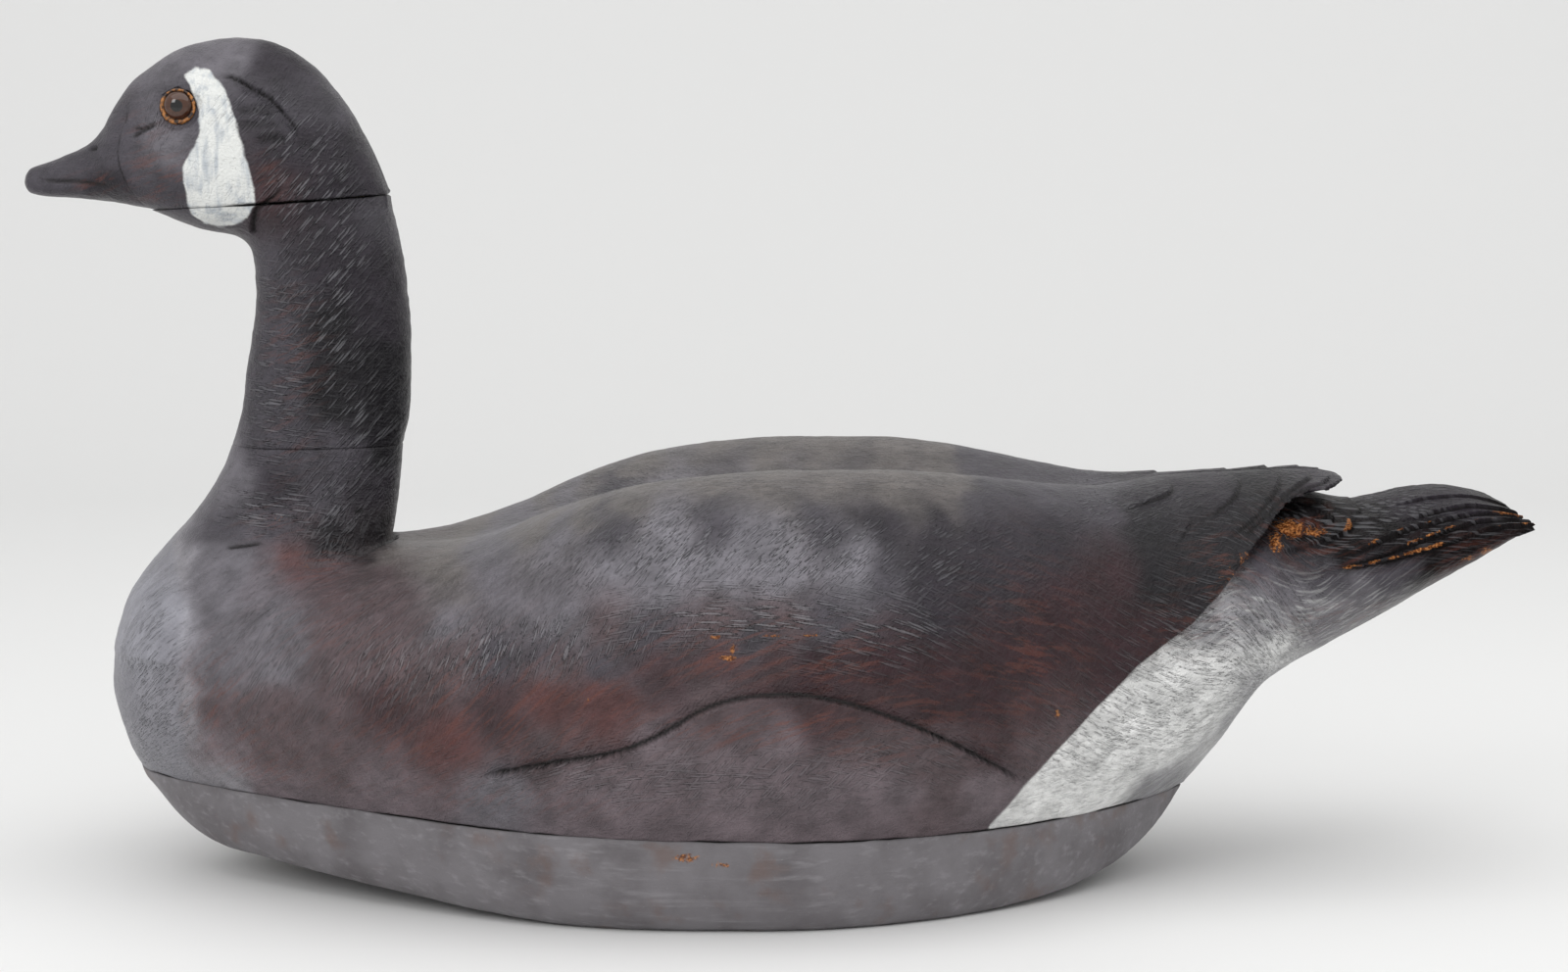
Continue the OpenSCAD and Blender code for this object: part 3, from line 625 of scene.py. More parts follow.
# Broad swellings: (route, height, half width, fades)
SWELLS = [
    ([(-267.3, -26.7, 316.5), (-260.6, -28.3, 318.6), (-251.7, -30, 319.5), (-245, -30.9, 317)],
     0.9, 4, 0.4, 0.4),
    ([(-262.9, -12, 352.3), (-256, -13.7, 355), (-240.4, -17.4, 356), (-227.6, -17.1, 357.1)],
     0.5, 4, 0.4, 0.4),
    ([(-243, -25, 300), (-236, -27, 291), (-231, -24, 286)], 1.4, 8, 0.4, 0.4),
]


def press_cuts(p, normals):
    """How far each point moves out along its normal, how much painted shade it gets in cuts and below steps,
    and how bare it is there.
    """
    q, n = p.copy(), normals.copy()
    q[:, 1] = -abs(p[:, 1])
    n[:, 1] = np.where(p[:, 1] > 0, -normals[:, 1], normals[:, 1])
    push, dark, bare = np.zeros(len(p)), np.zeros(len(p)), np.zeros(len(p))
    ragged = layered_noise(p / 3.1, 2) - 0.5
    broken = smoothstep(0.35, 0.7, layered_noise(p / 8.0, 2))
    for points, depth, run, lip, start, end, rim, breadth in OVERLAPS:
        index, away, share = Route(points).near(q, n, 22)
        away = away * (1 if depth > 0 else -1) + 0.5 * ragged[index]
        strength = fade(share, start, end)
        drop = -abs(depth) * np.exp(-np.maximum(-away, 0) / run) * smoothstep(0.7, -0.7, away)
        push[index] += strength * (drop + lip * np.exp(-abs(away) / 4) * smoothstep(-0.5, 0.5, away))
        # Painted shade: the low side at the foot of each step is darkened where its shadow falls
        shade = strength * smoothstep(breadth, 0.2, abs(away + 0.5 * breadth))
        dark[index] = np.maximum(dark[index], shade * min(1, 0.75 * abs(depth)))
        worn = rim * strength * smoothstep(1.9, 0.4, abs(away - 1.0)) * (0.35 + 1.3 * broken[index])
        bare[index] = np.maximum(bare[index], worn)
    for points, depth, width, start, end in CUTS:
        index, away, share = Route(points).near(q, n, 4 * width)
        strength = fade(share, start, end)
        push[index] -= depth * strength * np.exp(-(away / width) ** 2)
        # Painted shade along each cut's floor
        dark[index] = np.maximum(dark[index], strength * np.exp(-(away / width) ** 2) * min(1, 1.1 / width))
    for points, height, width, start, end in SWELLS:
        index, away, share = Route(points).near(q, n, 2.6 * width)
        push[index] += height * fade(share, start, end) * np.exp(-(away / width) ** 2)
    return push, dark, bare


# ---- Paint: what each point of the surface knows about itself ----
CHEEK_PATCH = [
    (-251, 349), (-246.4, 351.6), (-240, 350.6), (-236, 346.4), (-232.8, 341.7), (-229.3, 332.2),
    (-225.5, 321.7), (-222.4, 312), (-219.9, 302.6), (-220, 295), (-223.7, 288), (-229.9, 284.7),
    (-237.5, 284), (-243.7, 285.6), (-248.2, 290), (-249.9, 296), (-250.3, 304.7), (-249, 312),
    (-245.2, 318.5), (-243.1, 324), (-243.7, 332), (-245.6, 339.6), (-248.7, 345.4),
]
# Paint colours, with painted sheen and painted light among them where the tables below say so
PAINT_AND_SHEEN_COLOURS = {
    "black": (0.004, 0.003, 0.005), "soot": (0.02, 0.016, 0.022), "charcoal": (0.053, 0.048, 0.058),
    "slate": (0.125, 0.117, 0.132), "mist": (0.24, 0.23, 0.25), "breast": (0.33, 0.325, 0.36),
    "plum": (0.026, 0.01, 0.013), "russet": (0.048, 0.026, 0.029), "rust": (0.085, 0.035, 0.034),
    "umber": (0.086, 0.062, 0.067), "dusty": (0.125, 0.112, 0.106), "dusk": (0.132, 0.105, 0.116),
    # the bluish grey here is painted sheen, the light's reflection on the glossy dark paint
    "haze": (0.26, 0.255, 0.27), "painted_sheen_grey": (0.17, 0.162, 0.182), "white": (0.8, 0.8, 0.79),
    "dim": (0.003, 0.002, 0.002),
}
# What colour lies where on the goose's head, neck and body: a colour, then (x, z) places; some are painted
# sheen and painted light, as marked
BODY_PAINT_AND_PAINTED_LIGHT = {
    "black": [(-188, 245), (-189, 208), (-188, 227), (-166, 208), (-167, 188), (-188, 154), (-170, 152),
              (162, 157), (186, 157), (209, 160), (161, 141), (180, 146), (212, 172), (-166, 226)],
    "soot": [(-282, 301), (-211, 357), (-210, 319), (-187, 319), (-187, 301), (-172, 305), (-188, 264),
             (-166, 264), (-166, 245), (-212, 172), (-167, 170), (68, 164), (114, 160), (67, 132),
             (67, 148), (90, 146), (189, 173), (236, 174), (165, 170), (90, 160), (-200, 318), (45, 165)],
    # On the neck's front and round the back of the head this dark grey is painted sheen over black paint;
    # elsewhere it is the paint's own grey
    "charcoal": [(-310, 303), (-257, 301), (-282, 318), (-210, 337), (-250, 337), (-188, 337),
                 (-166, 285), (-212, 245), (-212, 264), (-213, 208), (-213, 190), (-213, 227),
                 (-189, 188), (-189, 171), (-236, 154), (-211, 154), (92, 178), (116, 175), (-67, 164),
                 (-22, 166), (23, 166), (45, 149), (22, 132), (-65, 116), (140, 173), (-45, 126),
                 (-10, 126), (-110, 114), (-90, 118)],
    # On the face this grey is partly painted light from the front and left; on the body it is the paint's own
    # grey
    "slate": [(-257, 319), (-259, 356), (-234, 357), (-238, 170), (-116, 155), (-90, 160), (-233, 137),
              (-209, 138), (-112, 145), (-230, 122), (-206, 123), (-134, 128), (-88, 132), (-229, 105),
              (-204, 107), (-111, 60)],
    # Painted sheen: the bluish band along the upper side where the glossy paint reflects the light
    "painted_sheen_grey": [(30, 152), (-66, 148), (-21, 150), (1, 150), (-44, 150), (-40, 158), (-10, 160)],
    # The breast's pale greys are its lighter paint, made lighter still as painted light from the front and
    # left
    "mist": [(-258, 140), (-256, 84), (-259, 62), (-264, 45), (-236, 43), (-280, 80), (-285, 60)],
    "breast": [(-256, 120), (-272, 110), (-270, 125)],
    "plum": [(112, 128), (136, 126), (137, 143), (22, 116), (44, 116), (67, 115), (89, 113), (112, 111),
             (136, 109), (67, 97), (89, 95), (150, 120)],
    "russet": [(1, 117), (-21, 117), (-156, 94), (-43, 117), (22, 100), (-109, 98), (90, 77), (112, 93),
               (-212, 303), (44, 99)],
    "rust": [(-87, 99), (-65, 99), (-132, 80), (-205, 142)],
    "umber": [(-156, 111), (-87, 115), (-186, 138), (-161, 140), (-182, 125), (-158, 126), (-65, 133),
              (-21, 133), (1, 133), (-180, 110), (-229, 87), (-204, 90), (-179, 92), (-132, 113),
              (-21, 100), (-205, 70), (-180, 73), (-87, 81), (67, 79), (113, 76), (44, 81), (67, 60)],
    "dusty": [(-60, 178), (-25, 183), (0, 183), (25, 183), (50, 182), (75, 181), (-99, 163),
              (-137, 147), (-80, 172), (-160, 147)],
    "dusk": [(-231, 66), (-43, 82), (1, 82), (-209, 48), (-158, 55), (-66, 62), (-21, 64), (23, 63),
             (44, 62), (92, 57)],
}
RUMP_PAINT = {
    "white": [(160, 88), (186, 100), (138, 70), (163, 68), (120, 56), (140, 50), (212, 104), (186, 80)],
    "haze": [(168, 42), (208, 121), (184, 122), (208, 88), (196, 132), (228, 122), (205, 70)],
    "slate": [(233, 119), (250, 132), (213, 133), (240, 107)],
    "charcoal": [(232, 137), (258, 138), (262, 128), (212, 142)],
    "soot": [(289, 168), (270, 167), (300, 166)],
    "dim": [(220, 158), (245, 156), (262, 158), (280, 156), (301, 157), (280, 140), (318, 160),
            (240, 150), (300, 150), (210, 152), (262, 148), (290, 161), (235, 160)],
    "plum": [(290, 135), (305, 144)],
}


def painted(rows, x, z):
    """Colours at points of the side view, each place's colour running softly into the next: paint, and on the
    body some painted sheen and painted light.
    """
    total, weights = np.zeros((len(x), 3)), np.zeros(len(x))
    for paint, places in rows.items():
        for place_x, place_z in places:
            weight = 1 / ((x - place_x) ** 2 + (z - place_z) ** 2 + 30) ** 2
            total += weight[:, None] * PAINT_AND_SHEEN_COLOURS[paint]
            weights += weight
    return total / weights[:, None]


def polygon_distance(outline, x, z):
    """Signed distance from a closed outline, positive inside."""
    p = np.array(outline, float)
    best, inside = np.full(len(x), 1e9), np.zeros(len(x), bool)
    for a, b in zip(p, np.roll(p, -1, axis=0)):
        along = b - a
        t = np.clip(((x - a[0]) * along[0] + (z - a[1]) * along[1]) / (along @ along), 0, 1)
        best = np.minimum(best, np.hypot(x - a[0] - t * along[0], z - a[1] - t * along[1]))
        crosses = (a[1] > z) != (b[1] > z)
        inside ^= crosses & (x < a[0] + (z - a[1]) * along[0] / (along[1] or 1e-9))
    return np.where(inside, best, -best)


# Where paint has worn to the reddish undercoat: (x, z, half length, half height, strength)
REDDISH = [
    (-18, 121, 42, 13, 0.75), (25, 117, 34, 12, 0.7), (-112, 96, 60, 26, 0.62), (-66, 100, 22, 9, 0.8),
    (105, 112, 26, 34, 0.62), (60, 98, 40, 16, 0.5), (192, 142, 16, 14, 0.7), (176, 120, 26, 12, 0.5),
    (-5, 88, 42, 7, 0.7), (45, 80, 40, 8, 0.5), (-212, 60, 26, 9, 0.6), (-235, 86, 14, 22, 0.62),
    (-150, 78, 50, 16, 0.5), (-206, 232, 12, 26, 0.6), (-262, 306, 13, 11, 0.8), (-291, 303, 9, 4, 0.9),
    (-214, 305, 6, 10, 0.6), (-195, 141, 16, 6, 0.7), (-214, 158, 16, 7, 0.45), (-207, 195, 10, 20, 0.4),
    (-120, 58, 70, 7, 0.45), (5, 93, 34, 6, 0.9), (-40, 90, 20, 5, 0.7), (-232, 92, 16, 10, 0.8),
    (-222, 78, 18, 9, 0.6), (225, 160, 16, 8, 0.8), (236, 147, 22, 6, 0.6), (250, 118, 20, 9, 0.6),
    (300, 146, 24, 9, 0.55), (228, 118, 14, 8, 0.5), (-268, 324, 10, 12, 0.35), (-180, 120, 30, 14, 0.4),
]
# Where bare wood shows: the same five values
BARE = [
    (-22, 126.5, 3.5, 1.2, 1), (-17, 118.5, 5, 1.6, 1), (-15, 122, 1.6, 3, 0.9), (1, 127, 6, 0.8, 0.9),
    (16, 127, 5, 0.8, 0.9), (-73, 101, 9, 2.6, 0.5), (-54, 101.5, 8, 2.2, 0.45), (-34, 34, 8, 3, 0.8),
    (-20, 31, 6, 2.4, 0.7), (117, 89, 1.6, 3, 0.9), (192, 139, 9, 10, 0.5), (199, 147, 6, 6, 0.62),
    (221, 157, 9, 4.5, 0.95), (231, 156, 9, 3, 0.8), (214, 152, 5, 6, 0.8), (303, 148, 4, 3, 0.9),
    (296, 145, 5, 2.4, 0.7), (-291, 303, 6, 2.4, 0.5), (-210, 160, 8, 2.2, 0.55), (-198, 141, 6, 3, 0.5),
    (-258, 316, 6, 2, 0.5), (-172, 100, 8, 3, 0.45), (-214, 62, 8, 3, 0.5), (318, 155, 4, 3, 0.6),
    (-210, 128, 7, 8, 0.4),
]


def blotches(spots, x, z):
    total = np.zeros(len(x))
    for spot_x, spot_z, long, high, strength in spots:
        shape = np.exp(-((x - spot_x) / long) ** 2 - ((z - spot_z) / high) ** 2)
        total = np.maximum(total, strength * shape)
    return total


# Where strokes of the knife and rasp show, lightened as scuffs and as painted highlight on their ridges:
# places, as above, for steep, slanting and level ones
STEEP = [(-118, 117, 30, 10, 1.0), (-92, 122, 20, 10, 0.9), (-60, 128, 30, 8, 0.5),
         (-150, 108, 20, 14, 0.6), (-262, 330, 8, 12, 0.3), (-190, 155, 12, 10, 0.4)]
SLANTING = [(-188, 250, 15, 50, 1.0), (-178, 200, 13, 30, 0.8), (-196, 300, 16, 24, 0.9),
            (-186, 165, 12, 14, 0.7), (-44, 158, 34, 13, 1.0), (10, 158, 34, 12, 0.8),
            (-80, 152, 24, 12, 0.5), (70, 152, 26, 16, 0.4), (-165, 112, 26, 22, 0.5),
            (-206, 110, 20, 30, 0.3), (150, 168, 30, 8, 0.5), (-206, 322, 12, 12, 0.8),
            (-215, 335, 12, 8, 0.6), (0, 70, 60, 16, 0.3)]
LEVEL = [(-10, 134, 46, 9, 1.0), (44, 128, 32, 12, 0.8), (-212, 162, 20, 8, 0.9),
         (-212, 210, 16, 30, 0.6), (-60, 70, 80, 12, 0.35), (50, 72, 50, 12, 0.35),
         (190, 110, 46, 30, 0.6), (150, 80, 40, 20, 0.5), (250, 160, 70, 12, 0.6),
         (-262, 96, 14, 40, 0.5), (20, 182, 110, 8, 0.3), (-212, 250, 12, 20, 0.5)]
HULL_TOP = 182
TAIL_BLEND = (190, 236)  # stations between which the chart turns from girth to level


def paint_facts(p, normals, dark, bare):
    x, y, z = p.T
    on_neck = smoothstep(146, 160, z) * (x < -150)
    girth = HULL_TOP - body_loft.girth_at(p)
    level = np.maximum(smoothstep(*TAIL_BLEND, x), on_neck)
    height = girth * (1 - level) + z * level
    warp = np.stack([layered_noise(p / 21.0 + shift) - 0.5 for shift in (0, 40)], 1)
    warp_x, warp_z = x + 22 * warp[:, 0], z + 13 * warp[:, 1]
    body = painted(BODY_PAINT_AND_PAINTED_LIGHT, warp_x, warp_z)
    rump = painted(RUMP_PAINT, warp_x, warp_z)
    behind_wing = smoothstep(-0.5, 1.0, wing_edge.distance(p) + 2.2 * warp[:, 1])[:, None] * (x > 90)[:, None]
    face = np.where(abs(y) > 12, polygon_distance(CHEEK_PATCH, x, z), -20)
    breast = np.where(z < 170, -250 - x - np.interp(z, [128, 150], [0, 12]), -60)
    return {
        "chart": np.stack([x, height, 0.4 * y + np.where(y > 0, 70, -70)], 1),
        # paint colour, with the body's painted sheen and painted light in it
        "paint": body * (1 - behind_wing) + rump * behind_wing,
        "patch": face + 2.4 * (layered_noise(p / 5.0 + 90) - 0.5) + 1.2 * warp[:, 0],
        "breast": breast,
        "rump": behind_wing[:, 0] * smoothstep(150, 120, z),
        "worn": blotches(REDDISH, x, z),
        "bare": np.maximum(bare, blotches(BARE, x, z)),
        "steep": blotches(STEEP, warp_x, warp_z),
        "slanting": blotches(SLANTING, warp_x, warp_z),
        "level": blotches(LEVEL, warp_x, warp_z),
        "dark": dark,
        "dull": behind_wing[:, 0] * smoothstep(128, 142, z),
    }


SOCKET_HOLE, SOCKET_REACH = 0.96, 1.35  # shares of the putty's radius
SOCKET_DEPTH, SOCKET_RISE = 5, 1.2      # drawn mm, under the putty and round it
CHEEK_SIDE = 10                         # drawn mm from the middle, where the sides of the head begin


def sink_sockets(p):
    """Lowers the wood round each eye to its putty, and under it."""
    low, high = (np.array(corner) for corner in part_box("eye_putty_left"))
    centre, radius = (low + high) / 2, (high[0] - low[0]) / 2
    rim = max(abs(low[1]), abs(high[1])) / FIT[1]
    place = to_metres(p)
    away = np.hypot(place[:, 0] - centre[0], place[:, 2] - centre[2]) / radius
    slope = rim - 0.2 + SOCKET_RISE * smoothstep(SOCKET_HOLE, SOCKET_REACH, away)
    level = np.where(away < SOCKET_HOLE, rim - SOCKET_DEPTH, slope)
    level = np.where((away < SOCKET_REACH) & (abs(p[:, 1]) > CHEEK_SIDE), level, np.inf)
    p[:, 1] = np.sign(p[:, 1]) * np.minimum(abs(p[:, 1]), level)
    return p


NECK_LEVELS = (150, 190)  # drawn mm, where the body's marks turn into the neck's


def tool_marks(p):
    """Low waves left by the knife and rasp, in mm: broad ones, lumps and small ones."""
    broad = layered_noise(p / 26.0, 2) - 0.5
    lumps = layered_noise(p * [1 / 9, 1 / 9, 1 / 5] + 30, 2) - 0.5
    small = layered_noise(p / 3.4 + 60, 2) - 0.5
    on_neck = smoothstep(*NECK_LEVELS, p[:, 2])
    return (0.8 - 0.3 * on_neck) * broad + (0.35 + 0.3 * on_neck) * lumps + 0.25 * small


# ---- Blender meshes ----
def to_metres(p):
    centre = (box_low + box_high) / 2
    return np.column_stack([centre[0] + p[:, 0] * FIT[0], centre[1] + p[:, 1] * FIT[1],
                            box_low[2] + p[:, 2] * FIT[2]])


def mesh_of(name, p, quads, facts):
    used, local = np.unique(quads, return_inverse=True)
    local = local.reshape(-1, 4)
    mesh = bpy.data.meshes.new(name)
    mesh.vertices.add(len(used))
    mesh.vertices.foreach_set("co", p[used].astype(np.float32).ravel())
    mesh.loops.add(local.size)
    mesh.loops.foreach_set("vertex_index", local.astype(np.int32).ravel())
    mesh.polygons.add(len(local))
    mesh.polygons.foreach_set("loop_start", np.arange(0, local.size, 4, dtype=np.int32))
    mesh.update(calc_edges=True)
    for key, values in facts.items():
        kind, field = ("FLOAT_VECTOR", "vector") if values.ndim == 2 else ("FLOAT", "value")
        layer = mesh.attributes.new(key, kind, "POINT")
        layer.data.foreach_set(field, values[used].astype(np.float32).ravel())
    return mesh


class Joint:
    """A glue joint: a nearly level plane, given by its height at two stations."""
    LIP = 1.1  # how far from the joint its edges are worn

    def __init__(self, front, rear, depth, gap, soil):
        self.front, self.rear, self.depth, self.gap, self.soil = front, rear, depth, gap, soil
        run, rise = rear[0] - front[0], rear[1] - front[1]
        self.normal = np.array([-rise, 0, run]) / math.hypot(run, rise)
        self.point = np.array([front[0], 0, front[1]])

    def height(self, p):
        return (p - self.point) @ self.normal


HEAD_JOINT = Joint(HEAD_SEAM_FRONT, HEAD_SEAM_REAR, depth=0.8, gap=0.4, soil=1.0)
NECK_JOINT = Joint((-240, NECK_SEAM), (-160, NECK_SEAM), depth=0.4, gap=0.04, soil=0.5)
BODY_JOINT = Joint(SEAM_FRONT, SEAM_REAR, depth=0.6, gap=0.2, soil=1.0)


def saw(mesh, joint, keep_above):
    """Cuts a mesh at a joint, closes it there, and wears its edge."""
    bm = bmesh.new()
    bm.from_mesh(mesh)
    sign = 1 if keep_above else -1
    for offset in (joint.LIP, joint.LIP / 2):
        bmesh.ops.bisect_plane(bm, geom=bm.verts[:] + bm.edges[:] + bm.faces[:],
                               plane_co=joint.point + sign * offset * joint.normal, plane_no=joint.normal)
    cut = bmesh.ops.bisect_plane(bm, geom=bm.verts[:] + bm.edges[:] + bm.faces[:],
                                 plane_co=joint.point, plane_no=joint.normal,
                                 clear_inner=keep_above, clear_outer=not keep_above)
    rim = [e for e in cut["geom_cut"] if isinstance(e, bmesh.types.BMEdge)]
    bm.normal_update()
    bm.verts.ensure_lookup_table()
    shade = bm.verts.layers.float["dark"]
    p = np.array([v.co for v in bm.verts])
    near = np.flatnonzero(abs(joint.height(p)) < joint.LIP * 1.05)
    normals = np.array([bm.verts[i].normal for i in near]) if len(near) else np.zeros((0, 3))
    flat = normals - np.outer(normals @ joint.normal, joint.normal)
    flat /= np.maximum(np.linalg.norm(flat, axis=1, keepdims=True), 1e-6)
    closeness = 1 - np.clip(abs(joint.height(p[near])) / joint.LIP, 0, 1)
    rough = layered_noise(p[near] * [1 / 5, 1 / 5, 0] + 3, 3)
    opening = smoothstep(0.35, 0.62, layered_noise(p[near] * [1 / 22, 1 / 22, 0] + 9, 2))
    inward = joint.depth * closeness ** 1.3 * (0.35 + 0.9 * rough) * (0.4 + 0.6 * opening)
    apart = joint.gap * closeness * (0.25 + 0.75 * opening)
    wander = 0.5 * (layered_noise(p[near] * [1 / 7, 1 / 7, 0] + 5, 2) - 0.5)
    shift = -flat * inward[:, None] + np.outer(sign * apart + wander * closeness, joint.normal)
    soiled = closeness ** 2 * joint.soil * (0.35 + 0.65 * opening)
    for i, move, dirt in zip(near, shift, soiled):
        bm.verts[i].co += Vector(move)
        bm.verts[i][shade] = max(bm.verts[i][shade], dirt)
    bmesh.ops.triangle_fill(bm, edges=rim, use_beauty=True, normal=Vector(-sign * joint.normal))
    made = bpy.data.meshes.new(mesh.name)
    bm.to_mesh(made)
    bm.free()
    return made


def link(name, mesh, material, node):
    obj = bpy.data.objects.new(name, mesh)
    bpy.context.collection.objects.link(obj)
    mesh.materials.append(material)
    mesh.polygons.foreach_set("use_smooth", np.ones(len(mesh.polygons), bool))
    mesh.update()
    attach(obj, "decoy")
    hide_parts(node)


def block(name, p, quads, facts, low, high, material):
    """One block of the goose between two joints, either of which may be None."""
    inside = np.ones(len(quads), bool)
    spare = 3 * CELL
    if low is not None:
        inside &= (low.height(p)[quads] > -spare).any(1)
    if high is not None:
        inside &= (high.height(p)[quads] < spare).any(1)
    mesh = mesh_of(name, p, quads[inside], facts)
    if low is not None:
        mesh = saw(mesh, low, True)
    if high is not None:
        mesh = saw(mesh, high, False)
    co = np.empty(3 * len(mesh.vertices), np.float32)
    mesh.vertices.foreach_get("co", co)
    mesh.vertices.foreach_set("co", to_metres(co.reshape(-1, 3).astype(float)).astype(np.float32).ravel())
    link(name, mesh, material, name.replace("carved_", ""))


# ---- Materials ----
class Tree:
    """A material's nodes, with short calls for the few kinds used here."""

    def __init__(self, name):
        self.material = bpy.data.materials.new(name)
        self.material.use_nodes = True
        self.nodes, self.links = self.material.node_tree.nodes, self.material.node_tree.links
        self.shader = self.nodes["Principled BSDF"]

    def put(self, value, socket):
        """Links another node's output, or sets a plain value or an opaque colour."""
        if isinstance(value, bpy.types.NodeSocket):
            self.links.new(value, socket)
        elif socket.type == "RGBA":
            socket.default_value = (*value, 1)
        else:
            socket.default_value = value

    def add(self, kind, output, inputs, **settings):
        """A node with its settings and inputs, and the output asked for."""
        node = self.nodes.new("ShaderNode" + kind)
        for key, value in settings.items():
            setattr(node, key, value)
        for key, value in inputs.items():
            self.put(value, node.inputs[key])
        return node.outputs[output]

    def fact(self, name, vector=False):
        return self.add("Attribute", "Vector" if vector else "Fac", {}, attribute_name=name)

    def where(self):
        """The object's own coordinates, in mm."""
        return self.stretch(self.add("TexCoord", "Object", {}), (1000, 1000, 1000))

    def stretch(self, vector, scale, turn=0.0):
        return self.add("Mapping", "Vector", {"Vector": vector, "Scale": scale, "Rotation": (0, 0, turn)})

    def noise(self, vector, scale, detail=3.0, rough=0.55):
        return self.add("TexNoise", "Fac", {"Vector": vector, "Scale": scale, "Detail": detail,
                                            "Roughness": rough})

    def dashes(self, vector):
        """Short strokes: spots scattered one to a cell, in coordinates drawn out along them."""
        layers = []
        for scale in (1.0, 1.27):
            spots = {"Vector": vector, "Scale": scale}
            chosen = self.ramp(self.add("TexVoronoi", "Color", spots), 0.1, 0.5)
            near = self.ramp(self.add("TexVoronoi", "Distance", spots), 0.44, 0.24)
            layers.append(self.times(near, chosen))
        return self.calc("MAXIMUM", *layers)

    def scale(self, vector, factor):
        return self.add("VectorMath", "Vector", {"Vector": vector, "Scale": factor}, operation="SCALE")

    def ramp(self, value, low, high):
        return self.add("MapRange", "Result", {"Value": value, "From Min": low, "From Max": high},
                        interpolation_type="SMOOTHSTEP")

    def calc(self, kind, a, b=0.0, clamp=False):
        return self.add("Math", 0, {0: a, 1: b}, operation=kind, use_clamp=clamp)

    def times(self, a, b):
        return self.calc("MULTIPLY", a, b)

    def plus(self, a, b):
        return self.calc("ADD", a, b)

    def mix(self, share, a, b):
        return self.add("Mix", 2, {0: share, 6: a, 7: b}, data_type="RGBA")

    def bump(self, height, distance, strength=1.0, under=None):
        inputs = {"Strength": strength, "Distance": distance, "Height": height}
        if under is not None:
            inputs["Normal"] = under
        return self.add("Bump", "Normal", inputs)

    def finish(self, color, roughness, normal=None, specular=0.5, metallic=0.0):
        self.put(color, self.shader.inputs["Base Color"])
        self.put(roughness, self.shader.inputs["Roughness"])
        if normal is not None:
            self.put(normal, self.shader.inputs["Normal"])
        self.put(specular, self.shader.inputs["Specular IOR Level"])
        self.shader.inputs["Metallic"].default_value = metallic
        return self.material


BREAST_PAINT = (0.2, 0.2, 0.23)
WHITE_PAINT = (0.72, 0.73, 0.71)
WHITE_SHADE = (0.36, 0.4, 0.45)
UNDERCOAT = (0.17, 0.05, 0.03)
BARE_WOOD, BARE_SHADE = (0.4, 0.165, 0.055), (0.1, 0.028, 0.007)
# Light grey of the strokes: partly scuffed paint, partly painted highlight on their ridges
SCUFF_AND_PAINTED_HIGHLIGHT = (0.3, 0.3, 0.32)
STROKE_WIDTH = 1.5  # mm between the knife's strokes
# Near-black for the dark fact: painted shade in the cuts and below the steps, and dirt in the glue joints
JOINT_DIRT_AND_PAINTED_SHADE = (0.006, 0.005, 0.005)


def worn_through(t, color, spot, speck):
    """Chips down to bare wood, where the surface says it is bare."""
    chips = t.plus(t.fact("bare"), t.times(t.noise(spot, 0.6, 5.0, 0.7), 1.5))
    chips = t.times(t.ramp(chips, 1.3, 1.5), t.ramp(t.fact("bare"), 0.05, 0.4))
    return t.mix(chips, color, t.mix(t.ramp(speck, 0.42, 0.62), BARE_SHADE, BARE_WOOD))


